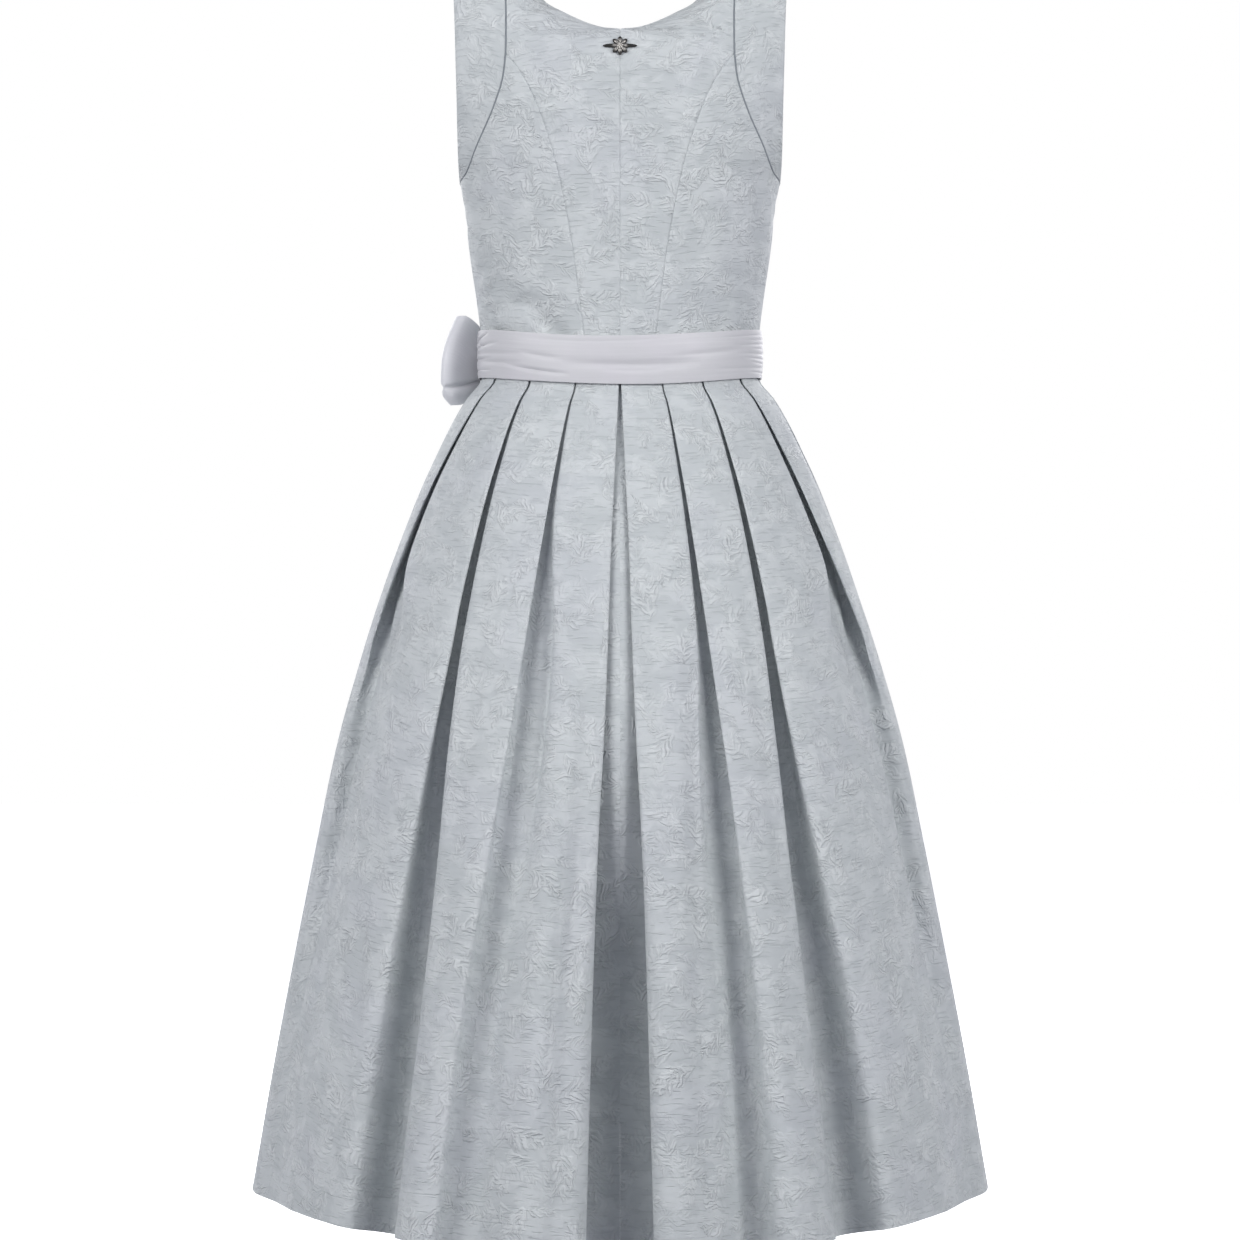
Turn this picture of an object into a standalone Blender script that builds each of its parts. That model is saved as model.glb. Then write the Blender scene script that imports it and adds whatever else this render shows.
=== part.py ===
"""A dirndl, filled out as when it is worn but with no wearer in it.

Metres, +Z up, the wearer's left at +X and the front towards -Y. The origin is midway between the
tops of the shoulders, from which the dress hangs. Heights are written as drops below that point.
Every piece of cloth is a closed wall of constant thickness: the middle surface of the piece is
worked out on a grid, and the wall lies half outside and half inside it.

A turn is an angle round the body: 0 at the centre back, 90 degrees at the wearer's left and 180
degrees at the centre front.
"""
import math

import bpy
import numpy as np

WALL = 0.0015
SASH_WALL = 0.0012
SEAM_GAP = 0.0003
PIPING_RADIUS = 0.0012
PIPING_SIDES = 6
SEAM_MARGIN = SEAM_GAP / 2
PIPING_MARGIN = PIPING_RADIUS + SEAM_GAP

# Points along the seams of the bodice, and columns across its centre panels and shoulder caps.
PRINCESS_POINTS = 9
ARMHOLE_LOW_POINTS = 9
ARMHOLE_HIGH_POINTS = 7
CENTRE_COLUMNS = 5
CAP_COLUMNS = 4
BACK_NECK_ROW = 8
FRONT_NECK_ROW = 5

WAIST_DROP = 0.405
WAIST_DIP = 0.013
BAND_BOTTOM_DROP = 0.4175
HEM_DROP = 1.160
APRON_HEM_DROP = 1.107

# A point inside the dress from which the bodice's walls face outwards.
INSIDE = np.array([0.0, 0.0, -0.25])

SHOULDER_SLOPE = 0.30
SHOULDER_SLOPE_START = 0.090
SHOULDER_SLOPE_FADE = 0.050

BUST_FULLNESS = 0.013
BUST_APART = 0.085
BUST_DROP = 0.252
BUST_SPREAD = (0.046, 0.055)


def table(names, rows):
    """Columns of a short table as a dictionary of arrays."""
    return dict(zip(names.split(), np.array(rows, dtype=float).T))


# Sections of the torso. Above the underarm the half width runs on under the shoulder caps.
TORSO = table("drop half_width back front power", [
    (0.000, 0.190, 0.000, 0.000, 2.2),
    (0.010, 0.190, 0.030, 0.029, 2.2),
    (0.030, 0.190, 0.053, 0.050, 2.2),
    (0.060, 0.189, 0.070, 0.068, 2.2),
    (0.100, 0.186, 0.084, 0.086, 2.2),
    (0.150, 0.179, 0.093, 0.104, 2.2),
    (0.190, 0.167, 0.096, 0.115, 2.2),
    (0.220, 0.157, 0.096, 0.119, 2.2),
    (0.2345, 0.1495, 0.0955, 0.119, 2.2),
    (0.268, 0.1446, 0.094, 0.115, 2.2),
    (0.306, 0.1398, 0.0925, 0.107, 2.15),
    (0.343, 0.1343, 0.092, 0.099, 2.1),
    (0.376, 0.1303, 0.0925, 0.095, 2.0),
    (0.420, 0.1275, 0.0915, 0.0915, 2.0),
])

# Seams of the torso as seen from behind or before: distance from the middle, and drop.
BACK_PRINCESS = [(0.0265, 0.418), (0.0325, 0.3836), (0.0415, 0.3141), (0.0515, 0.2575),
                 (0.0605, 0.2200), (0.0705, 0.1890), (0.0810, 0.1630), (0.0915, 0.1440),
                 (0.1042, 0.1268)]
FRONT_PRINCESS = [(0.0480, 0.418), (0.0570, 0.3700), (0.0720, 0.3150), (0.0830, 0.2650),
                  (0.0890, 0.2250), (0.0950, 0.1830), (0.1005, 0.1500)]
BACK_ARMHOLE_LOW = [(0.1042, 0.1268), (0.1062, 0.1459), (0.1145, 0.1733), (0.1310, 0.2079),
                    (0.1425, 0.2300), (0.1495, 0.2345)]
FRONT_ARMHOLE_LOW = [(0.1005, 0.1500), (0.1065, 0.1750), (0.1190, 0.2020), (0.1395, 0.2280),
                     (0.1495, 0.2345)]
BACK_ARMHOLE_HIGH = [(0.1042, 0.1268), (0.1040, 0.1000), (0.1046, 0.0740), (0.1070, 0.0380),
                     (0.1090, 0.0120), (0.1100, 0.0)]
FRONT_ARMHOLE_HIGH = [(0.1005, 0.1500), (0.0995, 0.1200), (0.1010, 0.0800), (0.1055, 0.0380),
                      (0.1085, 0.0120), (0.1100, 0.0)]
BACK_NECK = [(0.0, 0.1037), (0.0200, 0.1018), (0.0440, 0.0905), (0.0688, 0.0765), (0.0790, 0.0590),
             (0.0840, 0.0380), (0.0860, 0.0120), (0.0865, 0.0)]
FRONT_NECK = [(0.0, 0.2080), (0.0300, 0.2010), (0.0560, 0.1800), (0.0710, 0.1480),
              (0.0790, 0.1050), (0.0840, 0.0550), (0.0860, 0.0150), (0.0865, 0.0)]

CAP_EDGE = [(0.1500, 0.2345), (0.1503, 0.1700), (0.1515, 0.1200), (0.1530, 0.0775), (0.1560, 0.0300),
            (0.1570, 0.0)]
CAP_END_DROP = 0.2270

# Skirt outline at the lips of the pleats.
SKIRT = table("drop half_width half_depth openness", [
    (0.4053, 0.1300, 0.0945, 0.00),
    (0.4180, 0.1305, 0.0955, 0.00),
    (0.4370, 0.1445, 0.1080, 0.03),
    (0.4580, 0.1570, 0.1195, 0.06),
    (0.4850, 0.1705, 0.1320, 0.11),
    (0.5180, 0.1858, 0.1463, 0.17),
    (0.5600, 0.2025, 0.1625, 0.25),
    (0.6150, 0.2225, 0.1830, 0.36),
    (0.6800, 0.2435, 0.2050, 0.48),
    (0.7600, 0.2660, 0.2275, 0.62),
    (0.8500, 0.2850, 0.2480, 0.75),
    (0.9500, 0.3050, 0.2680, 0.88),
    (1.0600, 0.3265, 0.2888, 0.96),
    (HEM_DROP, 0.3440, 0.3060, 1.00),
])

# One pleat from its lip to the next lip: share of the way along, and share of the pleat's depth.
PLEAT_AT_WAIST = table("along inset", [
    (0.00, 0.00), (0.12, 0.00), (0.42, 0.10), (0.70, 0.42), (0.94, 0.92),
    (1.28, 1.00), (1.28, 0.66), (1.00, 0.34)])
PLEAT_AT_HEM = table("along inset", [
    (0.00, 0.16), (0.11, 0.00), (0.30, 0.08), (0.48, 0.34), (0.64, 0.76),
    (0.76, 1.00), (0.87, 0.84), (0.955, 0.44)])

# The lips of the knife pleats, left and right of the opening at the centre back.
PLEAT_COLUMNS = "waist_turn middle_turn hem_turn waist_depth middle_depth hem_depth"
PLEATS_LEFT = table(PLEAT_COLUMNS, [
    (18.4, 17.8, 25.0, 0.0056, 0.017, 0.018),
    (39.7, 37.4, 40.0, 0.0056, 0.024, 0.034),
    (65.0, 62.5, 60.5, 0.0056, 0.022, 0.013),
    (90.0, 89.0, 89.0, 0.0056, 0.020, 0.018),
    (113.0, 113.0, 113.0, 0.0056, 0.020, 0.026),
    (136.0, 137.0, 136.0, 0.0056, 0.020, 0.026),
    (159.0, 159.0, 160.0, 0.0056, 0.018, 0.024),
])
PLEATS_RIGHT = table(PLEAT_COLUMNS, [
    (17.5, 18.2, 24.5, 0.0056, 0.018, 0.020),
    (35.7, 34.8, 40.5, 0.0056, 0.024, 0.034),
    (59.6, 62.0, 62.0, 0.0056, 0.022, 0.011),
    (86.0, 88.0, 89.0, 0.0056, 0.020, 0.018),
    (111.0, 112.0, 112.0, 0.0056, 0.020, 0.026),
    (135.0, 135.0, 136.0, 0.0056, 0.020, 0.026),
    (158.0, 159.0, 159.0, 0.0056, 0.018, 0.024),
])
SIDE_PLEAT = 3
MIDDLE_OPENNESS = 0.5

# The inverted pleat at the centre back: half its opening, its depth and its inner fold.
CENTRE_PLEAT = table("drop half_opening depth inner_fold ridge", [
    (0.4053, 0.0010, 0.0056, 0.0120, 0.00),
    (0.4800, 0.0042, 0.0075, 0.0150, 0.10),
    (0.5640, 0.0082, 0.0130, 0.0180, 0.22),
    (0.6570, 0.0120, 0.0220, 0.0200, 0.25),
    (0.8000, 0.0185, 0.0340, 0.0210, 0.16),
    (0.9300, 0.0232, 0.0420, 0.0215, 0.10),
    (HEM_DROP, 0.0300, 0.0450, 0.0220, 0.06),
])

# Its half section: shares of the turns of its inner fold and of its lip, of its depth and ridge.
CENTRE_FOLDS = table("of_inner of_lip inset ridge", [
    (0.00, 0.0, 1.00, 1.0), (0.12, 0.0, 1.00, 1.0), (0.55, 0.0, 1.00, 0.0),
    (1.00, 0.0, 1.00, 0.0), (1.00, 0.0, 0.66, 0.0), (0.00, 1.0, 0.34, 0.0)])

# The flat box at the centre front, under the apron: shares of its half width, and its fullness.
FRONT_SHARES = np.array([0.0, 0.10, 0.34, 0.68, 1.0])
FRONT_FULLNESS = 0.0015

# Where the cloth dips inwards it flares less, so it hangs lower, by this share of the dip.
HANG_OF_DIPS = 0.24

# The tie and the band of the apron lie round the waist.
BAND = table("drop half_width half_depth", [
    (0.3735, 0.1325, 0.0972),
    (0.3880, 0.1331, 0.0980),
    (0.4040, 0.1330, 0.0980),
    (BAND_BOTTOM_DROP, 0.1326, 0.0977),
])
BAND_JOIN_TURN = 112.0
BAND_COLUMNS = 26

APRON_GATHERS = 12
APRON_EDGE_TURN = 110.0
APRON_BASE = 0.0021
APRON_WAVE = table("drop height", [(0.4178, 0.0020), (0.4800, 0.0042), (0.6500, 0.0055),
                                   (APRON_HEM_DROP, 0.0085)])

KNOT_TURN = 126.0
KNOT_DROP = 0.3960
KNOT_HALF = (0.0140, 0.0095, 0.0190)
KNOT_PROUD = 0.0098
KNOT_POWER = 0.7
KNOT_COLUMNS = 12
KNOT_ROWS = 7
LOOP_REACH = 0.080
LOOP_DEPTH = 0.013
LOOP_NARROW_DEPTH = 0.35
LOOP_START = 0.055
LOOP_COLUMNS = 17
LOOP_ROWS = 5
LOOP_SWEEP = 0.002
LOOP_SLANT = 0.020
LOOP_ROLL = 0.012
LOOP_LEAN = 0.009
LOOP_HALF_HEIGHTS = (0.0150, 0.0440)
BOW_END_COLUMNS = "drop turn half_width offset"
BOW_END_FRONT = table(BOW_END_COLUMNS, [
    (0.41512, 127.6, 0.0080, 0.0140), (0.4370, 130.0, 0.0150, 0.0140),
    (0.4580, 131.0, 0.0215, 0.0150), (0.4850, 131.5, 0.0260, 0.0155),
    (0.5180, 132.5, 0.0300, 0.0160), (0.5600, 133.5, 0.0325, 0.0165),
    (0.6150, 134.5, 0.0340, 0.0170), (0.6800, 135.5, 0.0355, 0.0175),
    (0.7600, 136.0, 0.0365, 0.0180), (0.8200, 136.5, 0.0370, 0.0185)])
BOW_END_SIDE = table(BOW_END_COLUMNS, [
    (0.41495, 124.2, 0.0080, 0.0105), (0.4370, 121.0, 0.0150, 0.0098),
    (0.4580, 119.5, 0.0210, 0.0108), (0.4850, 118.5, 0.0250, 0.0113),
    (0.5180, 117.5, 0.0290, 0.0118), (0.5600, 117.0, 0.0320, 0.0123),
    (0.6150, 116.5, 0.0335, 0.0128), (0.6800, 116.0, 0.0350, 0.0133),
    (0.7400, 116.0, 0.0360, 0.0138), (0.7900, 116.0, 0.0365, 0.0143)])
BOW_END_COLUMN_COUNT = 6
BOW_END_FOLD = 0.0012
BOW_END_SLANT = 0.016

ORNAMENT_DROP = 0.1210
ORNAMENT_THICKNESS = 0.0022
PETALS = 8
PETAL_REACH = (0.0046, 0.0088)
PETAL_POWER = 0.8
LEAF_REACH = 0.0155
LEAF_WIDTH = 0.22
ORNAMENT_POINTS = 48
ORNAMENT_TAPER = 0.93
ORNAMENT_DOME = 0.0012
ORNAMENT_CLEAR = 0.0002

JACQUARD = ("pale_blue_jacquard", (0.560, 0.600, 0.630, 1.0), 0.62, 0.0)
SATIN = ("pale_lilac_satin", (0.620, 0.610, 0.655, 1.0), 0.42, 0.0)
ANTIQUE_SILVER = ("antique_silver", (0.240, 0.235, 0.225, 1.0), 0.42, 0.9)


def smooth(at, knots, values):
    """Cubic curve through the knots that does not swing past their values."""
    at = np.clip(at, knots[0], knots[-1])
    steps = np.diff(knots)
    slopes = np.diff(values) / steps
    product = slopes[:-1] * slopes[1:]
    total = np.where(product > 0, slopes[:-1] + slopes[1:], 1.0)
    inner = np.where(product > 0, 2 * product / total, 0.0)
    tangents = np.concatenate(([slopes[0]], inner, [slopes[-1]]))
    cell = np.clip(np.searchsorted(knots, at, side="right") - 1, 0, len(steps) - 1)
    s = (at - knots[cell]) / steps[cell]
    rise = steps[cell] * (s * (1 - s) ** 2 * tangents[cell] - s ** 2 * (1 - s) * tangents[cell + 1])
    return values[cell] * (1 + 2 * s) * (1 - s) ** 2 + values[cell + 1] * s ** 2 * (3 - 2 * s) + rise


def at_drop(rows, name, drop):
    return smooth(drop, rows["drop"], rows[name])


def unit(vectors):
    return vectors / np.maximum(np.linalg.norm(vectors, axis=-1, keepdims=True), 1e-12)


def torso_column(name, root):
    """Torso column read by the root of the drop, in which the shoulder is round."""
    return smooth(root, np.sqrt(TORSO["drop"]), TORSO[name])


def torso_from_shares(x_share, y_share, root):
    """Point at shares of the half width and of the depth; y_share is positive behind."""
    depth = np.where(y_share >= 0, torso_column("back", root), torso_column("front", root))
    x = torso_column("half_width", root) * x_share
    y = depth * y_share
    drop = root ** 2
    away = ((np.abs(x) - BUST_APART) / BUST_SPREAD[0]) ** 2 + ((drop - BUST_DROP) / BUST_SPREAD[1]) ** 2
    y = y - np.where(y_share < 0, BUST_FULLNESS * np.exp(-away), 0.0)
    beyond = np.maximum(np.abs(x) - SHOULDER_SLOPE_START, 0.0)
    slope = SHOULDER_SLOPE * beyond * np.exp(-(drop / SHOULDER_SLOPE_FADE) ** 2)
    return np.stack([x, y, -drop - slope], axis=-1)


def torso_by_turn(turn, root):
    """Torso point at a turn in radians."""
    power = torso_column("power", root)
    reach = (np.abs(np.sin(turn)) ** power + np.abs(np.cos(turn)) ** power) ** (1 / power)
    return torso_from_shares(np.sin(turn) / reach, np.cos(turn) / reach, root)


def torso_by_distance(x, signed_root):
    """Torso point at a distance from the middle; the root is negative before the shoulder."""
    root = np.abs(signed_root)
    power = torso_column("power", root)
    x_share = np.clip(np.abs(x) / torso_column("half_width", root), 0.0, 0.99999)
    y_share = (1 - x_share ** power) ** (1 / power)
    return torso_from_shares(x_share, np.where(signed_root < 0, -y_share, y_share), root)


def outward_normals(surface, first, second, step=2e-4):
    """Unit normals of a surface of two parameters, pointing away from the body."""
    along_first = surface(first + step, second) - surface(first - step, second)
    along_second = surface(first, second + step) - surface(first, second - step)
    normals = unit(np.cross(along_first, along_second))
    away = surface(first, second) - INSIDE
    facing = np.sum(normals * away, axis=-1, keepdims=True)
    return np.where(facing < 0, -normals, normals)


def seam_points(knots, before):
    """Seam given by distance and drop, as many points of turn and root of the drop."""
    knots = np.array(knots)
    travelled = np.concatenate(([0.0], np.cumsum(np.linalg.norm(np.diff(knots, axis=0), axis=1))))
    fine = np.linspace(0.0, travelled[-1], 240)
    x = smooth(fine, travelled, knots[:, 0])
    root = np.sqrt(np.maximum(smooth(fine, travelled, knots[:, 1]), 0.0))
    power = torso_column("power", root)
    x_share = np.clip(x / torso_column("half_width", root), 0.0, 1.0)
    turn = np.arctan2(x_share, np.maximum(1 - x_share ** power, 0.0) ** (1 / power))
    return np.stack([math.pi - turn if before else turn, root], axis=-1)


def spread_evenly(points, count):
    """The given number of points, evenly spaced in space, along a seam on the torso."""
    placed = torso_by_turn(points[:, 0], points[:, 1])
    travelled = np.concatenate(([0.0], np.cumsum(np.linalg.norm(np.diff(placed, axis=0), axis=1))))
    stops = np.linspace(0.0, travelled[-1], count)
    return np.stack([np.interp(stops, travelled, points[:, 0]),
                     np.interp(stops, travelled, points[:, 1])], axis=-1)


def waist_seam(start_turn, end_turn, count):
    turn = np.linspace(start_turn, end_turn, count)
    drop = WAIST_DROP + WAIST_DIP * np.cos(turn) ** 2
    return np.stack([turn, np.sqrt(drop)], axis=-1)


def blend_edges(bottom, top, start, end):
    """Grid of parameters between four edge curves; rows run from bottom to top."""
    u = np.linspace(0, 1, len(bottom))[None, :, None]
    v = np.linspace(0, 1, len(start))[:, None, None]
    ruled = (1 - v) * bottom[None] + v * top[None] + (1 - u) * start[:, None] + u * end[:, None]
    corners = (1 - v) * ((1 - u) * bottom[0] + u * bottom[-1]) + v * ((1 - u) * top[0] + u * top[-1])
    return ruled - corners


def draw_in_edges(grid, normals, margins):
    """Move the border of a grid inwards, by a margin for each border edge, in its own surface."""
    rows, columns = grid.shape[:2]
    border = [(0, column) for column in range(columns - 1)]
    border += [(row, columns - 1) for row in range(rows - 1)]
    border += [(rows - 1, column) for column in range(columns - 1, 0, -1)]
    border += [(row, 0) for row in range(rows - 1, 0, -1)]
    moved = grid.copy()
    centre = grid.mean(axis=(0, 1))
    loop = np.array([grid[place] for place in border])
    winding = np.sum(np.cross(loop - centre, np.roll(loop, -1, axis=0) - centre), axis=0)
    for index, place in enumerate(border):
        normal = normals[place] * np.sign(np.dot(winding, normals[place]))
        edges = [loop[index] - loop[index - 1], loop[(index + 1) % len(loop)] - loop[index]]
        inward = unit(np.array([np.cross(normal, edge) for edge in edges]))
        wanted = np.array([margins[index - 1], margins[index]])
        moved[place] = grid[place] + np.linalg.pinv(inward, rcond=0.05) @ wanted
    return moved


def border_margins(rows, columns, bottom, end, top, start):
    """Margins in the order of the border edges; end and start may list one for each row."""
    end = np.broadcast_to(end, rows - 1)
    start = np.broadcast_to(start, rows - 1)
    return np.concatenate((np.full(columns - 1, bottom), end, np.full(columns - 1, top), start[::-1]))


def wall_mesh(name, outer, inner, mirrored=False, closed=False):
    """Closed wall between two grids of points; a closed grid joins its last column to its first."""
    rows, columns = outer.shape[:2]
    if mirrored:
        outer = outer * [-1, 1, 1]
        inner = inner * [-1, 1, 1]
    number = np.arange(rows * columns).reshape(rows, columns)
    if closed:
        number = np.concatenate((number, number[:, :1]), axis=1)
    low_left, low_right = number[:-1, :-1], number[:-1, 1:]
    high_left, high_right = number[1:, :-1], number[1:, 1:]
    skin = np.stack([low_left, low_right, high_right, high_left], axis=-1).reshape(-1, 4)
    back = skin[:, ::-1] + rows * columns
    edges = [(number[0, 1:], number[0, :-1]), (number[-1, :-1], number[-1, 1:])]
    if not closed:
        edges += [(number[:-1, 0], number[1:, 0]), (number[1:, -1], number[:-1, -1])]
    rims = [np.stack([a, b, b + rows * columns, a + rows * columns], axis=-1) for a, b in edges]
    faces = np.concatenate([skin, back] + rims)
    points = np.concatenate([outer.reshape(-1, 3), inner.reshape(-1, 3)])
    return closed_mesh(name, points, faces)


def closed_mesh(name, points, faces):
    """Mesh with its faces turned outwards."""
    corners = points[faces]
    first = np.cross(corners[:, 1] - corners[:, 0], corners[:, 2] - corners[:, 0])
    volume = np.sum(first * corners[:, 0])
    if faces.shape[1] == 4:
        second = np.cross(corners[:, 2] - corners[:, 0], corners[:, 3] - corners[:, 0])
        volume += np.sum(second * corners[:, 0])
    if volume < 0:
        faces = faces[:, ::-1]
    mesh = bpy.data.meshes.new(name)
    mesh.from_pydata(points.tolist(), [], faces.tolist())
    mesh.update()
    return mesh


def finish_material(name, color, roughness, metallic):
    material = bpy.data.materials.new(name)
    material.use_nodes = True
    shader = material.node_tree.nodes["Principled BSDF"]
    shader.inputs["Base Color"].default_value = color
    shader.inputs["Roughness"].default_value = roughness
    shader.inputs["Metallic"].default_value = metallic
    return material


def add_piece(name, mesh, finish):
    mesh.materials.append(finish_material(name + "_" + finish[0], *finish[1:]))
    mesh.shade_smooth()
    mesh.set_sharp_from_angle(angle=math.radians(40))
    piece = bpy.data.objects.new(name, mesh)
    bpy.context.scene.collection.objects.link(piece)
    return piece


def torso_panel(name, grid, margins, side):
    """Bodice panel on a grid of turns and roots, drawn in at its seams."""
    turn, root = grid[..., 0], grid[..., 1]
    normals = outward_normals(torso_by_turn, turn, root)
    middle = draw_in_edges(torso_by_turn(turn, root), normals, margins)
    half = normals * WALL / 2
    add_piece(name, wall_mesh(name, middle + half, middle - half, mirrored=side < 0), JACQUARD)


def armhole_stops(low, high, before):
    """Shared points of the armhole seam: from the princess seam down, and up to the shoulder."""
    return (spread_evenly(seam_points(low, before), ARMHOLE_LOW_POINTS),
            spread_evenly(seam_points(high, before), ARMHOLE_HIGH_POINTS))


def centre_panel(name, side, princess, armhole_high, neck, neck_row, before):
    """Panel from the centre seam to the princess seam and over the strap to the shoulder."""
    outer = np.concatenate((princess, armhole_high[1:]))
    rows = len(outer)
    neckline = spread_evenly(seam_points(neck, before), rows - neck_row)
    centre_turn = math.pi if before else 0.0
    waist_root = math.sqrt(WAIST_DROP + WAIST_DIP)
    centre_root = np.linspace(waist_root, neckline[0, 1], neck_row + 1)[:-1]
    centre = np.stack([np.full(neck_row, centre_turn), centre_root], axis=-1)
    inner = np.concatenate((centre, neckline))
    bottom = waist_seam(centre_turn, outer[0, 0], CENTRE_COLUMNS)
    top = np.linspace(inner[-1], outer[-1], CENTRE_COLUMNS)
    grid = blend_edges(bottom, top, inner, outer)
    outer_margin = np.where(np.arange(rows - 1) < len(princess) - 1, SEAM_MARGIN, PIPING_MARGIN)
    inner_margin = np.where(np.arange(rows - 1) < neck_row, SEAM_MARGIN, 0.0)
    margins = border_margins(rows, CENTRE_COLUMNS, SEAM_MARGIN, outer_margin, SEAM_MARGIN, inner_margin)
    torso_panel(name, grid, margins, side)


def side_panel(name, side, princess, armhole_low):
    """Panel from the princess seam to the side seam, under the low part of the armhole."""
    rows = len(princess)
    side_turn = math.pi / 2
    bottom = waist_seam(princess[0, 0], side_turn, len(armhole_low))
    side_root = np.linspace(bottom[-1, 1], armhole_low[-1, 1], rows)
    side_seam = np.stack([np.full(rows, side_turn), side_root], axis=-1)
    grid = blend_edges(bottom, armhole_low, princess, side_seam)
    margins = border_margins(rows, len(armhole_low), SEAM_MARGIN, SEAM_MARGIN, PIPING_MARGIN, SEAM_MARGIN)
    torso_panel(name, grid, margins, side)


def bodice_seams():
    """The shared points of the four princess and armhole seams, keyed by back and front."""
    seams = {}
    for half, before, princess, low, high in (
            ("back", False, BACK_PRINCESS, BACK_ARMHOLE_LOW, BACK_ARMHOLE_HIGH),
            ("front", True, FRONT_PRINCESS, FRONT_ARMHOLE_LOW, FRONT_ARMHOLE_HIGH)):
        line = spread_evenly(seam_points(princess, before), PRINCESS_POINTS)
        line[0, 1] = math.sqrt(WAIST_DROP + WAIST_DIP * math.cos(line[0, 0]) ** 2)
        armhole_low, armhole_high = armhole_stops(low, high, before)
        seams[half] = line, armhole_low, armhole_high
    return seams


def across(points, before):
    """Turns and roots of a seam as distances from the middle and signed roots."""
    placed = torso_by_turn(points[:, 0], points[:, 1])
    return np.stack([placed[:, 0], points[:, 1] * (-1 if before else 1)], axis=-1)


def armhole_loop(seams):
    """Whole armhole from the back underarm over the shoulder to the front underarm."""
    _, back_low, back_high = seams["back"]
    _, front_low, front_high = seams["front"]
    back = np.concatenate((back_low[::-1], back_high[1:]))
    front = np.concatenate((front_high[::-1][1:], front_low[1:]))
    return np.concatenate((across(back, False), across(front, True)))


def shoulder_cap(name, side, loop):
    """Crescent from the piped seam to the arm opening, over the shoulder from back to front."""
    edge = np.array(CAP_EDGE)[::-1]
    inside = loop[np.abs(loop[:, 1]) < math.sqrt(CAP_END_DROP)]
    edge_x = smooth(inside[:, 1] ** 2, edge[:, 1], edge[:, 0])
    share = np.linspace(0, 1, CAP_COLUMNS)[None, :]
    x = inside[:, :1] + (edge_x - inside[:, 0])[:, None] * share
    root = np.repeat(inside[:, 1:], CAP_COLUMNS, axis=1)
    normals = outward_normals(torso_by_distance, x, root, step=1e-4)
    margins = border_margins(len(inside), CAP_COLUMNS, 0.0, 0.0, 0.0, PIPING_MARGIN)
    middle = draw_in_edges(torso_by_distance(x, root), normals, margins)
    half = normals * WALL / 2
    add_piece(name, wall_mesh(name, middle + half, middle - half, mirrored=side < 0), JACQUARD)


def armhole_piping(name, side, loop):
    """Thin round piping along the whole armhole, a closed ring."""
    centres = torso_by_distance(loop[:, 0], loop[:, 1])
    centres[0, 1] = centres[-1, 1] = 0.0
    centres, places = centres[:-1], loop[:-1]
    normals = outward_normals(torso_by_distance, places[:, 0], places[:, 1], step=1e-4)
    normals[0] = (1.0, 0.0, 0.0)
    path = unit(np.roll(centres, -1, axis=0) - np.roll(centres, 1, axis=0))
    sideways = unit(np.cross(path, normals))
    outward = np.cross(sideways, path)
    angle = np.linspace(0, 2 * math.pi, PIPING_SIDES, endpoint=False)[:, None, None]
    rings = centres + PIPING_RADIUS * (np.cos(angle) * outward + np.sin(angle) * sideways)
    add_piece(name, ring_mesh(name, rings, side), JACQUARD)


def ring_mesh(name, rings, side):
    """Closed ring from points ordered round its section and then round the ring."""
    around, along = rings.shape[:2]
    number = np.arange(around * along).reshape(around, along)
    turned = np.roll(number, -1, axis=0)
    faces = np.stack([number, np.roll(number, -1, axis=1), np.roll(turned, -1, axis=1), turned], axis=-1)
    points = rings.reshape(-1, 3) * [side, 1, 1]
    return closed_mesh(name, points, faces.reshape(-1, 4))


def build_bodice():
    seams = bodice_seams()
    loop = armhole_loop(seams)
    for side, word in ((1, "left"), (-1, "right")):
        for half, before, neck, neck_row in (("back", False, BACK_NECK, BACK_NECK_ROW),
                                             ("front", True, FRONT_NECK, FRONT_NECK_ROW)):
            princess, armhole_low, armhole_high = seams[half]
            centre_panel(half + "_centre_" + word, side, princess, armhole_high, neck, neck_row, before)
            side_panel(half + "_side_" + word, side, princess, armhole_low)
        shoulder_cap("shoulder_cap_" + word, side, loop)
        armhole_piping("armhole_piping_" + word, side, loop)


def outline_point(turn, half_width, half_depth, drop, hang=0.0):
    """Point of an elliptical outline at a turn in radians, lower before and behind."""
    z = -drop - hang - WAIST_DIP * np.cos(turn) ** 2
    return np.stack(np.broadcast_arrays(half_width * np.sin(turn), half_depth * np.cos(turn), z), axis=-1)


def offset_sections(middle, distance):
    """Each row of a grid moved sideways, level, by a distance, with mitred corners."""
    steps = unit(np.diff(middle[..., :2], axis=1))
    normals = np.stack([steps[..., 1], -steps[..., 0]], axis=-1)
    before = np.concatenate((normals[:, :1], normals), axis=1)
    after = np.concatenate((normals, normals[:, -1:]), axis=1)
    mitre = (before + after) / (1 + np.sum(before * after, axis=-1, keepdims=True))
    moved = middle.copy()
    moved[..., :2] += mitre * distance
    return moved


def section_wall(name, middle, thickness, finish, mirrored=False):
    outer = offset_sections(middle, thickness / 2)
    inner = offset_sections(middle, -thickness / 2)
    add_piece(name, wall_mesh(name, outer, inner, mirrored=mirrored), finish)


def pleat_value(row, stem, openness):
    """Value of a pleat between its waist, middle and hem columns."""
    knots = np.array([0.0, MIDDLE_OPENNESS, 1.0])
    values = np.array([row["waist_" + stem], row["middle_" + stem], row["hem_" + stem]])
    return float(smooth(openness, knots, values))


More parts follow.
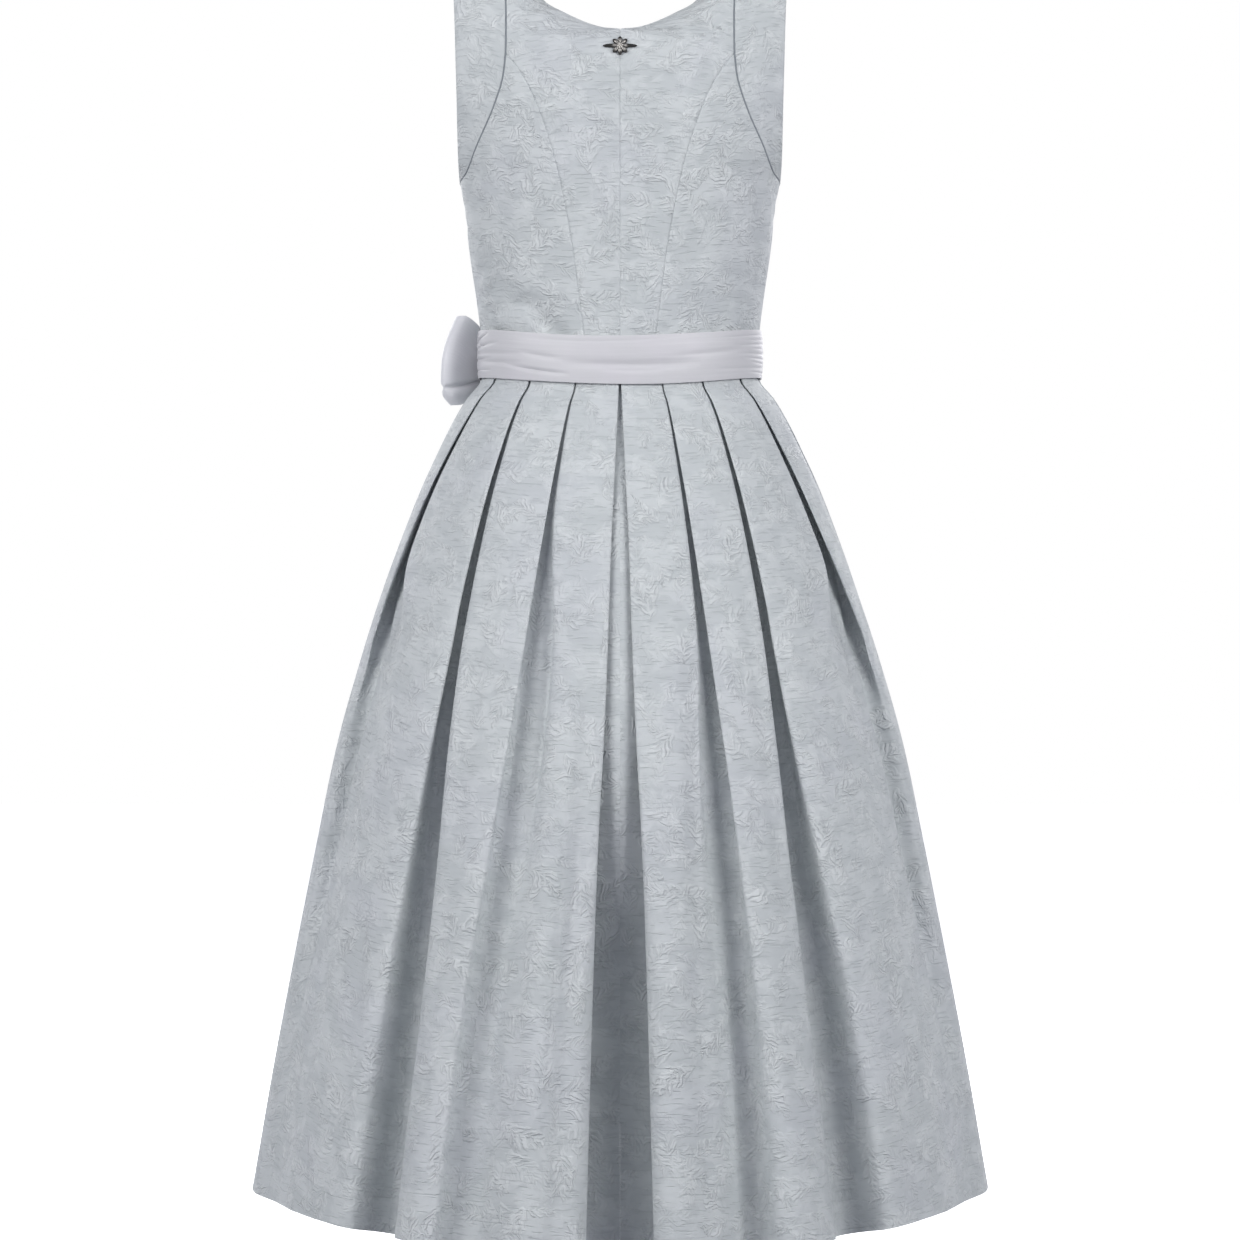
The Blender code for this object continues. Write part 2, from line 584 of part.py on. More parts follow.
def skirt_section(drop, pleats):
    """Turns and insets of half the skirt at one drop, from the centre back to the centre front.

    Also returns the two places where the side seam cuts the section.
    """
    half_width = at_drop(SKIRT, "half_width", drop)
    openness = at_drop(SKIRT, "openness", drop)
    opening, depth, fold, ridge = (at_drop(CENTRE_PLEAT, key, drop)
                                   for key in ("half_opening", "depth", "inner_fold", "ridge"))
    lip = opening / half_width
    inner = (opening + fold) / half_width
    turns = list(CENTRE_FOLDS["of_inner"] * inner + CENTRE_FOLDS["of_lip"] * lip)
    insets = list(CENTRE_FOLDS["inset"] * depth * (1 - CENTRE_FOLDS["ridge"] * ridge))
    along = PLEAT_AT_WAIST["along"] + openness * (PLEAT_AT_HEM["along"] - PLEAT_AT_WAIST["along"])
    inset = PLEAT_AT_WAIST["inset"] + openness * (PLEAT_AT_HEM["inset"] - PLEAT_AT_WAIST["inset"])
    depth_before = depth
    side_cut = None
    for index in range(len(pleats["hem_turn"])):
        row = {key: values[index] for key, values in pleats.items()}
        next_lip = math.radians(pleat_value(row, "turn", openness))
        depth = pleat_value(row, "depth", openness)
        reach = np.where(np.arange(len(inset)) < 3, depth_before * 0.5 + depth * 0.5, depth)
        turns += list(lip + along * (next_lip - lip))
        insets += list(inset * reach)
        if index == SIDE_PLEAT:
            side_cut = len(turns) - 3
        lip, depth_before = next_lip, depth
    turns += list(lip + FRONT_SHARES * (math.pi - lip))
    lip_inset = depth_before * inset[0] * (FRONT_SHARES == 0)
    insets += list(lip_inset + FRONT_FULLNESS * np.sin(FRONT_SHARES * math.pi))
    return np.array(turns), np.array(insets), side_cut


def skirt_row(drop, pleats):
    """Middle points of half the skirt at one drop, and the index of the side cut."""
    turns, insets, side_cut = skirt_section(drop, pleats)
    half_width = at_drop(SKIRT, "half_width", drop) - insets
    half_depth = at_drop(SKIRT, "half_depth", drop) - insets
    hang = HANG_OF_DIPS * insets * (drop - WAIST_DROP) / (HEM_DROP - WAIST_DROP)
    return outline_point(turns, half_width, half_depth, drop, hang), side_cut


def build_skirt():
    for word, pleats, mirrored in (("left", PLEATS_LEFT, False), ("right", PLEATS_RIGHT, True)):
        rows = [skirt_row(drop, pleats) for drop in SKIRT["drop"]]
        cut = rows[0][1]
        middle = np.array([points for points, _ in rows])
        middle[:, 0, 0] = SEAM_MARGIN
        middle[:, -1, 0] = SEAM_MARGIN
        between = (middle[:, cut] + middle[:, cut + 1]) / 2
        shift = unit(middle[:, cut + 1] - middle[:, cut]) * SEAM_MARGIN
        back = np.concatenate((middle[:, :cut + 1], (between - shift)[:, None]), axis=1)
        front = np.concatenate(((between + shift)[:, None], middle[:, cut + 1:]), axis=1)
        section_wall("skirt_back_" + word, back, WALL, JACQUARD, mirrored)
        section_wall("skirt_front_" + word, front, WALL, JACQUARD, mirrored)


def band_rows(start_turn, end_turn, count):
    """Band round the waist between two turns in radians, from its top edge down."""
    turn = np.linspace(start_turn, end_turn, count)
    return np.array([outline_point(turn, width, depth, drop)
                     for drop, width, depth in zip(BAND["drop"], BAND["half_width"], BAND["half_depth"])])


def build_band():
    join = math.radians(BAND_JOIN_TURN)
    margin = SEAM_MARGIN / BAND["half_depth"][0]
    back = band_rows(margin - join, join - margin, BAND_COLUMNS)
    front = band_rows(join + margin, 2 * math.pi - join - margin, BAND_COLUMNS)
    section_wall("waist_tie", back, SASH_WALL, SATIN)
    section_wall("apron_band", front, SASH_WALL, SATIN)


def build_apron():
    """Gathered panel that lies just clear of the front of the skirt."""
    edge = math.radians(APRON_EDGE_TURN)
    columns = APRON_GATHERS * 4 + 1
    turn = np.linspace(edge, 2 * math.pi - edge, columns)
    phase = np.linspace(0, 2 * math.pi * APRON_GATHERS, columns)
    phase = phase + 0.5 * np.sin(phase * 0.31) + 0.3 * np.sin(phase * 0.13)
    drops = [drop for drop in SKIRT["drop"] if BAND_BOTTOM_DROP < drop < APRON_HEM_DROP]
    drops[0] = BAND_BOTTOM_DROP + SEAM_GAP
    rows = []
    for drop in drops + [APRON_HEM_DROP]:
        wave = at_drop(APRON_WAVE, "height", drop) * (0.5 - 0.5 * np.cos(phase))
        proud = APRON_BASE + wave
        rows.append(outline_point(turn, at_drop(SKIRT, "half_width", drop) + proud,
                                  at_drop(SKIRT, "half_depth", drop) + proud, drop))
    section_wall("apron_panel", np.array(rows), SASH_WALL, SATIN)


def knot_frame():
    """Origin of the knot on the band, and its directions: towards the back, outwards and up."""
    turn = math.radians(KNOT_TURN)
    drop = KNOT_DROP
    half_width, half_depth = at_drop(BAND, "half_width", drop), at_drop(BAND, "half_depth", drop)
    origin = outline_point(np.array(turn), half_width, half_depth, drop)
    along = unit(np.array([-half_width * math.cos(turn), half_depth * math.sin(turn), 0.0]))
    outward = unit(np.array([half_depth * math.sin(turn), half_width * math.cos(turn), 0.0]))
    return origin + outward * (SASH_WALL / 2), along, outward, np.array([0.0, 0.0, 1.0])


def build_knot():
    """Knot: a ball squared off a little, standing just clear of the band."""
    origin, along, outward, up = knot_frame()
    count = KNOT_COLUMNS
    latitude = np.linspace(-math.pi / 2, math.pi / 2, KNOT_ROWS + 2)[1:-1][:, None]
    longitude = np.linspace(0, 2 * math.pi, count, endpoint=False)[None, :]

    def squared(value):
        return np.sign(value) * np.abs(value) ** KNOT_POWER

    level = squared(np.cos(latitude))
    ring = np.stack([level * squared(np.cos(longitude)), level * squared(np.sin(longitude)),
                     np.broadcast_to(squared(np.sin(latitude)), (KNOT_ROWS, count))], axis=-1)
    unit_points = np.concatenate((ring.reshape(-1, 3), [[0, 0, -1], [0, 0, 1]]))
    place = unit_points * KNOT_HALF + [0, KNOT_PROUD, 0]
    points = origin + place[:, :1] * along + place[:, 1:2] * outward + place[:, 2:] * up
    number = np.arange(KNOT_ROWS * count).reshape(KNOT_ROWS, count)
    turned = np.roll(number, -1, axis=1)
    sides = np.stack([number[:-1], turned[:-1], turned[1:], number[1:]], axis=-1).reshape(-1, 4)
    low, high = KNOT_ROWS * count, KNOT_ROWS * count + 1
    quads = np.concatenate((sides[:, [0, 1, 2]], sides[:, [0, 2, 3]]))
    bottom = np.stack([np.full(count, low), turned[0], number[0]], axis=-1)
    top = np.stack([np.full(count, high), number[-1], turned[-1]], axis=-1)
    faces = np.concatenate((quads, bottom, top))
    add_piece("bow_knot", closed_mesh("bow_knot", points, faces), SATIN)


def bow_loop(name, direction):
    """Ribbon loop: a drop-shaped band, open above and below, taller and slanted at its far end."""
    origin, along, outward, up = knot_frame()
    turn = np.linspace(LOOP_START, 1 - LOOP_START, LOOP_COLUMNS)[None, :] * 2 * math.pi
    height = np.linspace(1, -1, LOOP_ROWS)[:, None]
    out_share = (1 - np.cos(turn)) / 2
    slant = LOOP_SLANT * np.maximum(height, 0) ** 1.5 + LOOP_ROLL * np.maximum(-height, 0) ** 4
    reach = LOOP_REACH - KNOT_HALF[0] - slant
    t = KNOT_HALF[0] + SEAM_GAP + reach * (out_share - out_share[0, 0])
    depth = LOOP_DEPTH * (LOOP_NARROW_DEPTH + (1 - LOOP_NARROW_DEPTH) * out_share) * np.sin(turn)
    lean = LOOP_LEAN * np.maximum(-height, 0) * np.minimum(out_share * 3, 1.0)
    n = KNOT_PROUD + depth + lean - LOOP_SWEEP * out_share
    opened = np.minimum(out_share * 1.35, 1.0) ** 0.8
    z = height * (LOOP_HALF_HEIGHTS[0] + (LOOP_HALF_HEIGHTS[1] - LOOP_HALF_HEIGHTS[0]) * opened)
    t, n, z = np.broadcast_arrays(t, n, z)
    flat = np.stack([t, n, z], axis=-1)
    outer = offset_sections(flat, SASH_WALL / 2)
    inner = offset_sections(flat, -SASH_WALL / 2)

    def place(grid):
        return origin + direction * grid[..., :1] * along + grid[..., 1:2] * outward + grid[..., 2:] * up

    add_piece(name, wall_mesh(name, place(outer), place(inner)), SATIN)


def bow_end(name, rows):
    """Ribbon end that hangs from the knot over the apron and skirt, cut on a slant."""
    share = np.linspace(-1, 1, BOW_END_COLUMN_COUNT)
    points = []
    for index, drop in enumerate(rows["drop"]):
        if index == len(rows["drop"]) - 1:
            drop = drop + BOW_END_SLANT * share
        fold = BOW_END_FOLD * np.cos(share * math.pi * 1.5) * min(1.0, index / 3)
        proud = rows["offset"][index] + fold
        half_width, half_depth = at_drop(SKIRT, "half_width", drop), at_drop(SKIRT, "half_depth", drop)
        turn = math.radians(rows["turn"][index])
        speed = np.hypot(half_width * math.cos(turn), half_depth * math.sin(turn))
        turns = turn + share * rows["half_width"][index] / speed
        points.append(outline_point(turns, half_width + proud, half_depth + proud, drop))
    section_wall(name, np.array(points), SASH_WALL, SATIN)


def ornament_outline(count):
    """Blossom of pointed petals with a leaf to each side, as distances round its middle."""
    angle = np.linspace(0, 2 * math.pi, count, endpoint=False)
    petal = np.abs(np.cos(angle * PETALS / 2)) ** PETAL_POWER
    reach = PETAL_REACH[0] + (PETAL_REACH[1] - PETAL_REACH[0]) * petal
    leaf = np.exp(-(np.sin(angle) / LEAF_WIDTH) ** 2)
    return angle, np.maximum(reach, LEAF_REACH * leaf)


def build_ornament():
    """Flat cast blossom with two leaves, lying on the centre back seam."""
    root = np.array(math.sqrt(ORNAMENT_DROP))
    turn = np.array(0.0)
    outward = outward_normals(torso_by_turn, turn, root)
    middle = torso_by_turn(turn, root) + outward * (WALL / 2 + SEAM_GAP + ORNAMENT_CLEAR)
    sideways = np.array([1.0, 0.0, 0.0])
    up = unit(np.cross(outward, sideways))
    up = up * np.sign(up[2])
    angle, reach = ornament_outline(ORNAMENT_POINTS)
    flat = (np.cos(angle) * reach)[:, None] * sideways + (np.sin(angle) * reach)[:, None] * up
    back = middle + flat
    front = middle + flat * ORNAMENT_TAPER + outward * ORNAMENT_THICKNESS
    count = len(angle)
    centres = np.array([middle, middle + outward * (ORNAMENT_THICKNESS + ORNAMENT_DOME)])
    points = np.concatenate((back, front, centres))
    here = np.arange(count)
    after = np.roll(here, -1)
    faces = np.concatenate((
        np.stack([here, after, after + count], axis=-1),
        np.stack([here, after + count, here + count], axis=-1),
        np.stack([after, here, np.full(count, 2 * count)], axis=-1),
        np.stack([here + count, after + count, np.full(count, 2 * count + 1)], axis=-1)))
    add_piece("neck_ornament", closed_mesh("neck_ornament", points, faces), ANTIQUE_SILVER)


def main():
    for old in list(bpy.data.objects):
        bpy.data.objects.remove(old)
    build_bodice()
    build_skirt()
    build_band()
    build_apron()
    build_knot()
    bow_loop("bow_loop_back", 1)
    bow_loop("bow_loop_front", -1)
    bow_end("bow_end_front", BOW_END_FRONT)
    bow_end("bow_end_side", BOW_END_SIDE)
    build_ornament()


main()
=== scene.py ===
"""The looks of a dirndl, filled out as when it is worn but with no wearer in it.

Metres, +Z up, the wearer's left at +X and the front towards -Y, with the origin midway between the
tops of the shoulders. Heights are written as drops below that point. Each piece of cloth is a thin
shell: its middle surface is worked out on a fine grid from named sections, and seams, folds and
creases are then pressed into it along its normals.

A turn is an angle round the body: 0 at the centre back, 90 degrees at the wearer's left and 180
degrees at the centre front.
"""
import math

import bpy
import numpy as np
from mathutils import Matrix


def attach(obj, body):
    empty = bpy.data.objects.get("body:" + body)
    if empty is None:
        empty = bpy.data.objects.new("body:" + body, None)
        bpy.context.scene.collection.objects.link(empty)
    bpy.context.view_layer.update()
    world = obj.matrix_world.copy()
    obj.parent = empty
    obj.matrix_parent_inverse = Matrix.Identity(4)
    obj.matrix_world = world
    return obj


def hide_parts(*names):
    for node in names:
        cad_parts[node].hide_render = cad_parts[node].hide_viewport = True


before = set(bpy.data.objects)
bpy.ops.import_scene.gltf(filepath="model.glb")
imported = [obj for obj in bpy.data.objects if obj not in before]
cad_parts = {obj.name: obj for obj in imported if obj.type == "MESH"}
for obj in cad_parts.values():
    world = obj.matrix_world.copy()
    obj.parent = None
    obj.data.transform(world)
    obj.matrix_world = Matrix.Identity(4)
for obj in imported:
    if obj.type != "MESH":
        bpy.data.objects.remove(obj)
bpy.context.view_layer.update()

# Thickness of the two cloths, and how far the edges of pieces keep from their seams. Where two
# panels are sewn together, their very edges turn inwards.
CLOTH = 0.0012
SATIN_CLOTH = 0.0009
SEAM_GAP = 0.0003
SEAM_MARGIN = SEAM_GAP / 2
SEWN_MARGIN = 0.00078
SEWN_TURN = 0.0045
CLOSED_SEAM = 0.00003
PIPING_RADIUS = 0.0010
PIPING_MARGIN = PIPING_RADIUS + SEAM_GAP
PIPING_SIDES = 12
NARROW_CAP_SHARE = 0.45

# Two edges of a border whose directions differ by less than this share are drawn in as one.
SAME_DIRECTION = 0.05

# Steps of the grid for each step of the plain solids, and the steps along the bodice's seams.
FINENESS = 8
PRINCESS_POINTS = 8 * FINENESS + 1
ARMHOLE_LOW_POINTS = 8 * FINENESS + 1
ARMHOLE_HIGH_POINTS = 6 * FINENESS + 1
CENTRE_COLUMNS = 4 * FINENESS + 1
CAP_COLUMNS = 24
BACK_NECK_ROW = 8 * FINENESS
FRONT_NECK_ROW = 5 * FINENESS
SEAM_SAMPLES = 240

# Where the pattern starts on a piece, for each unit of its name's sum, and on a column of it.
PATTERN_STARTS = (0.0137, 0.0311)
PATTERN_SHIFT = 0.0031
SHARP_FOLD = math.radians(75)

# A point inside the dress from which the bodice's walls face outwards.
INSIDE = np.array([0.0, 0.0, -0.25])
NORMAL_STEP = 2e-4
CAP_NORMAL_STEP = 1e-4

# Levels of the dress. The waist lies lower by the dip before and behind.
WAIST_DROP = 0.405
WAIST_DIP = 0.013
BAND_BOTTOM_DROP = 0.4175
HEM_DROP = 1.160
APRON_HEM_DROP = 1.107

# What the torso has beside its sections: the slope of the shoulders, and the bust.
SHOULDER_SLOPE = 0.30
SHOULDER_SLOPE_START = 0.090
SHOULDER_SLOPE_FADE = 0.050
BUST_FULLNESS = 0.013
BUST_APART = 0.085
BUST_DROP = 0.252
BUST_SPREAD = (0.046, 0.055)

# How far a seam, a piped seam and an open edge draw the cloth in, how wide the dip beside them is,
# and how much the grid is crowded there.
SEAM_SINK = 0.0008
PIPED_SINK = 0.0006
EDGE_ROLL = 0.0005
SEAM_ROLL_WIDTH = 0.0011
CLOSER_AT_SEAMS = 0.85


def table(names, rows):
    """Columns of a short table as a dictionary of arrays."""
    return dict(zip(names.split(), np.array(rows, dtype=float).T))


# Sections of the torso. Above the underarm the half width runs on under the shoulder caps.
TORSO = table("drop half_width back front power", [
    (0.000, 0.190, 0.000, 0.000, 2.2),
    (0.010, 0.190, 0.030, 0.029, 2.2),
    (0.030, 0.190, 0.053, 0.050, 2.2),
    (0.060, 0.189, 0.070, 0.068, 2.2),
    (0.100, 0.186, 0.084, 0.086, 2.2),
    (0.150, 0.179, 0.093, 0.104, 2.2),
    (0.190, 0.167, 0.096, 0.115, 2.2),
    (0.220, 0.157, 0.096, 0.119, 2.2),
    (0.2345, 0.1495, 0.0955, 0.119, 2.2),
    (0.268, 0.1446, 0.094, 0.115, 2.2),
    (0.306, 0.1398, 0.0925, 0.107, 2.15),
    (0.343, 0.1343, 0.092, 0.099, 2.1),
    (0.376, 0.1303, 0.0925, 0.095, 2.0),
    (0.420, 0.1275, 0.0915, 0.0915, 2.0),
])

# Seams of the torso as seen from behind or before: distance from the middle, and drop.
BACK_PRINCESS = [(0.0265, 0.418), (0.0325, 0.3836), (0.0415, 0.3141), (0.0515, 0.2575),
                 (0.0605, 0.2200), (0.0705, 0.1890), (0.0810, 0.1630), (0.0915, 0.1440),
                 (0.1042, 0.1268)]
FRONT_PRINCESS = [(0.0480, 0.418), (0.0570, 0.3700), (0.0720, 0.3150), (0.0830, 0.2650),
                  (0.0890, 0.2250), (0.0950, 0.1830), (0.1005, 0.1500)]
BACK_ARMHOLE_LOW = [(0.1042, 0.1268), (0.1062, 0.1459), (0.1145, 0.1733), (0.1310, 0.2079),
                    (0.1425, 0.2300), (0.1495, 0.2345)]
FRONT_ARMHOLE_LOW = [(0.1005, 0.1500), (0.1065, 0.1750), (0.1190, 0.2020), (0.1395, 0.2280),
                     (0.1495, 0.2345)]
BACK_ARMHOLE_HIGH = [(0.1042, 0.1268), (0.1040, 0.1000), (0.1046, 0.0740), (0.1070, 0.0380),
                     (0.1090, 0.0120), (0.1100, 0.0)]
FRONT_ARMHOLE_HIGH = [(0.1005, 0.1500), (0.0995, 0.1200), (0.1010, 0.0800), (0.1055, 0.0380),
                      (0.1085, 0.0120), (0.1100, 0.0)]
BACK_NECK = [(0.0, 0.1066), (0.0130, 0.1056), (0.0250, 0.1025), (0.0370, 0.0975), (0.0500, 0.0908),
             (0.0675, 0.0802), (0.0780, 0.0640), (0.0832, 0.0400), (0.0860, 0.0120), (0.0865, 0.0)]
FRONT_NECK = [(0.0, 0.2080), (0.0300, 0.2010), (0.0560, 0.1800), (0.0710, 0.1480),
              (0.0790, 0.1050), (0.0840, 0.0550), (0.0860, 0.0150), (0.0865, 0.0)]
CAP_EDGE = [(0.1500, 0.2345), (0.1503, 0.1700), (0.1515, 0.1200), (0.1530, 0.0775), (0.1560, 0.0300),
            (0.1570, 0.0)]
CAP_END_DROP = 0.2328

# A crease bows a little and fades towards its ends. It is placed on the body unrolled: distances
# round it are turns times a radius.
CREASE_BOW = 0.05
CREASE_FADE = 0.8
BODICE_RADIUS = 0.118
BAND_RADIUS = 0.115

# Creases of the bodice: where each runs, in degrees of turn and in drop, and what share of its depth
# it has at the wearer's right, where all lie a little higher.
HIGHER_AT_RIGHT = 0.006
BODICE_CREASES = table("turn_start drop_start turn_end drop_end width depth right", [
    (86, 0.366, 44, 0.350, 0.0040, 0.0030, 0.7),
    (88, 0.350, 52, 0.330, 0.0050, 0.0024, 0.6),
    (86, 0.366, 50, 0.392, 0.0046, 0.0050, 0.3),
    (55, 0.344, 26, 0.400, 0.0064, 0.0056, 0.1),
    (56, 0.348, 30, 0.368, 0.0026, 0.0022, 0.5),
    (84, 0.332, 58, 0.306, 0.0060, 0.0018, 0.5),
    (66, 0.340, 46, 0.360, 0.0060, 0.0024, 0.2),
    (36, 0.374, 12, 0.370, 0.0030, 0.0012, 1.0),
    (96, 0.262, 70, 0.246, 0.0060, 0.0012, 1.0),
    (98, 0.285, 74, 0.256, 0.0080, 0.0014, 1.0),
    (94, 0.360, 132, 0.352, 0.0040, 0.0010, 1.0),
    (92, 0.340, 126, 0.328, 0.0055, 0.0008, 1.0),
    (100, 0.372, 150, 0.367, 0.0034, 0.0010, 1.0),
    (100, 0.262, 124, 0.250, 0.0070, 0.0010, 1.0),
    (150, 0.330, 166, 0.352, 0.0060, 0.0006, 1.0),
])

# Skirt outline at the lips of the pleats.
SKIRT = table("drop half_width half_depth openness", [
    (0.4053, 0.1300, 0.0945, 0.00),
    (0.4180, 0.1305, 0.0955, 0.00),
    (0.4370, 0.1445, 0.1080, 0.03),
    (0.4580, 0.1570, 0.1195, 0.06),
    (0.4850, 0.1705, 0.1320, 0.11),
    (0.5180, 0.1858, 0.1463, 0.17),
    (0.5600, 0.2025, 0.1625, 0.25),
    (0.6150, 0.2225, 0.1830, 0.36),
    (0.6800, 0.2435, 0.2050, 0.48),
    (0.7600, 0.2660, 0.2275, 0.62),
    (0.8500, 0.2850, 0.2480, 0.75),
    (0.9500, 0.3050, 0.2680, 0.88),
    (1.0600, 0.3265, 0.2888, 0.96),
    (HEM_DROP, 0.3440, 0.3060, 1.00),
])

# One pleat from its lip to the next lip, at five degrees of openness: share of the way along, and
# share of the pleat's depth. Its face is flat, then bends in sharply under the next lip. In the last
# column the pleat has come undone. From TURN_STEP on it bends in, and CUT_STEP is the deepest. The
# pattern starts at FACE_STEP, and the last UNDER_STEPS share that of the next face.
PLEAT_OPENNESS = np.array([0.0, 0.40, 0.75, 1.0, 1.4])
PLEAT_ALONG = np.array([
    (0.00, 0.00, 0.00, 0.00, 0.00), (0.12, 0.12, 0.12, 0.12, 0.12), (0.50, 0.50, 0.42, 0.34, 0.31),
    (0.965, 0.90, 0.70, 0.56, 0.51), (0.989, 0.94, 0.76, 0.72, 0.65), (1.28, 1.16, 0.98, 0.88, 0.78),
    (1.30, 1.32, 1.20, 1.04, 0.88), (1.06, 1.14, 1.14, 1.07, 0.95)])
PLEAT_INSET = np.array([
    (0.00, 0.01, 0.04, 0.14, 0.10), (0.00, 0.00, 0.00, 0.00, 0.00), (0.02, 0.02, 0.03, 0.05, 0.05),
    (0.10, 0.09, 0.16, 0.24, 0.38), (0.80, 0.74, 0.72, 0.66, 0.78), (1.00, 1.00, 1.00, 1.02, 1.00),
    (0.66, 0.70, 0.84, 0.95, 0.74), (0.34, 0.36, 0.42, 0.48, 0.38)])
PLEAT_STEPS = len(PLEAT_ALONG)
FACE_STEP = 2
TURN_STEP = 3
CUT_STEP = 5
UNDER_STEPS = 2

# The lips of the knife pleats, left and right of the opening at the centre back. "early" is how
# much sooner a pleat opens half way down, "undone" how far it comes undone below, and "swing" by
# how many degrees its lip swings towards the side above the middle.
PLEAT_COLUMNS = "waist_turn middle_turn hem_turn waist_depth middle_depth hem_depth early undone swing"
PLEATS_LEFT = table(PLEAT_COLUMNS, [
    (18.4, 21.0, 27.3, 0.0056, 0.020, 0.034, 0.34, 0.2, 0),
    (39.7, 39.2, 42.6, 0.0056, 0.032, 0.052, -0.03, 0, 0),
    (62.8, 72.5, 75.0, 0.0056, 0.018, 0.016, 0.20, 1, 3.0),
    (91.0, 94.0, 97.0, 0.0056, 0.011, 0.008, 0.0, 0, 0),
    (113.0, 114.0, 116.0, 0.0056, 0.020, 0.026, 0.0, 0, 0),
    (136.0, 137.0, 137.0, 0.0056, 0.020, 0.026, 0.0, 0, 0),
    (159.0, 159.0, 160.0, 0.0056, 0.018, 0.024, 0.0, 0, 0),
])
PLEATS_RIGHT = table(PLEAT_COLUMNS, [
    (17.5, 19.5, 23.2, 0.0056, 0.022, 0.044, -0.04, 0.1, 0),
    (35.7, 35.2, 42.0, 0.0056, 0.032, 0.052, -0.02, 0, 0),
    (59.0, 72.0, 76.0, 0.0056, 0.019, 0.017, 0.18, 1, -1.5),
    (87.0, 93.0, 97.0, 0.0056, 0.011, 0.008, 0.0, 0, 0),
    (111.0, 113.0, 115.0, 0.0056, 0.020, 0.026, 0.0, 0, 0),
    (135.0, 135.0, 137.0, 0.0056, 0.020, 0.026, 0.0, 0, 0),
    (158.0, 159.0, 159.0, 0.0056, 0.018, 0.024, 0.0, 0, 0),
])
SIDE_PLEAT = 3

# Openness of the skirt at the three levels of these tables, the openness from which on a pleat comes
# undone, over what stretch of it, and the share of its depth that it loses.
PLEAT_LEVELS = np.array([0.0, 0.5, 1.0])
UNDONE_FROM = 0.28
UNDONE_OVER = 0.32
UNDONE_LOSS = 0.38

# The inverted pleat at the centre back: half its opening, its depth, its inner fold, and how much
# of the depth the ridge in its middle makes up for. CENTRE_FOLDS lists its points from the middle
# outwards: shares of the way to the inner fold and to the lip, of the depth and of the ridge.
CENTRE_PLEAT = table("drop half_opening depth inner_fold ridge", [
    (0.4053, 0.0010, 0.0056, 0.0120, 0.00),
    (0.4800, 0.0042, 0.0062, 0.0150, 0.15),
    (0.5640, 0.0082, 0.0072, 0.0180, 0.32),
    (0.6570, 0.0112, 0.0090, 0.0200, 0.36),
    (0.7450, 0.0150, 0.0150, 0.0205, 0.34),
    (0.8000, 0.0182, 0.0260, 0.0208, 0.26),
    (0.8500, 0.0205, 0.0370, 0.0210, 0.14),
    (0.9300, 0.0235, 0.0640, 0.0215, 0.06),
    (HEM_DROP, 0.0300, 0.0780, 0.0220, 0.02),
])
CENTRE_FOLDS = table("of_inner of_lip inset ridge", [
    (0.00, 0.0, 1.00, 1.0), (0.12, 0.0, 1.00, 1.0), (0.55, 0.0, 1.00, 0.0),
    (1.00, 0.0, 1.00, 0.0), (1.00, 0.0, 0.66, 0.0), (0.00, 1.0, 0.34, 0.0)])

# Points from the last pleat to the centre front, and how far the cloth dips between them.
FRONT_SHARES = np.array([0.0, 0.10, 0.34, 0.68, 1.0])
FRONT_FULLNESS = 0.0015

# The hem hangs lower by a share of the depth of its dips. It does so at the sides too: by how much,
# about which turn, how wide, and from which drop on.
HANG_OF_DIPS = 0.24
SIDE_HANG = 0.007
SIDE_HANG_TURN = 1.40
SIDE_HANG_WIDTH = 0.24
SIDE_HANG_FROM = 0.93

# Soft troughs and ridges of the skirt. Pleat 0 runs from the centre back's lip to the first lip,
# and a place is a share of a pleat's way from its lip to the next, at the top and at the hem.
FOLD_COLUMNS = "pleat top_place hem_place start end width depth"
SOFT_FOLDS_LEFT = table(FOLD_COLUMNS, [
    (0, 0.24, 0.24, 0.640, 1.340, 0.0100, 0.0090),
    (0, 0.53, 0.50, 0.540, 0.900, 0.0080, 0.0070),
    (0, 0.55, 0.46, 0.780, 1.260, 0.0090, -0.0016),
    (0, 0.12, 0.08, 0.860, 1.240, 0.0060, -0.0010),
    (1, 0.30, 0.24, 0.560, 1.120, 0.0120, 0.0022),
    (1, 0.16, 0.10, 0.900, 1.290, 0.0080, 0.0018),
    (2, 0.29, 0.36, 0.640, 1.420, 0.0064, -0.0016),
    (2, 0.84, 0.82, 0.590, 1.000, 0.0090, 0.0130),
    (2, 0.24, 0.16, 0.860, 1.300, 0.0090, 0.0012),
    (3, 0.30, 0.30, 0.640, 1.280, 0.0140, 0.0034),
    (4, 0.26, 0.22, 0.560, 1.100, 0.0120, 0.0026),
    (4, 0.50, 0.42, 0.800, 1.290, 0.0100, -0.0018),
    (5, 0.30, 0.24, 0.600, 1.290, 0.0130, 0.0030),
    (6, 0.34, 0.30, 0.660, 1.200, 0.0120, 0.0024),
])
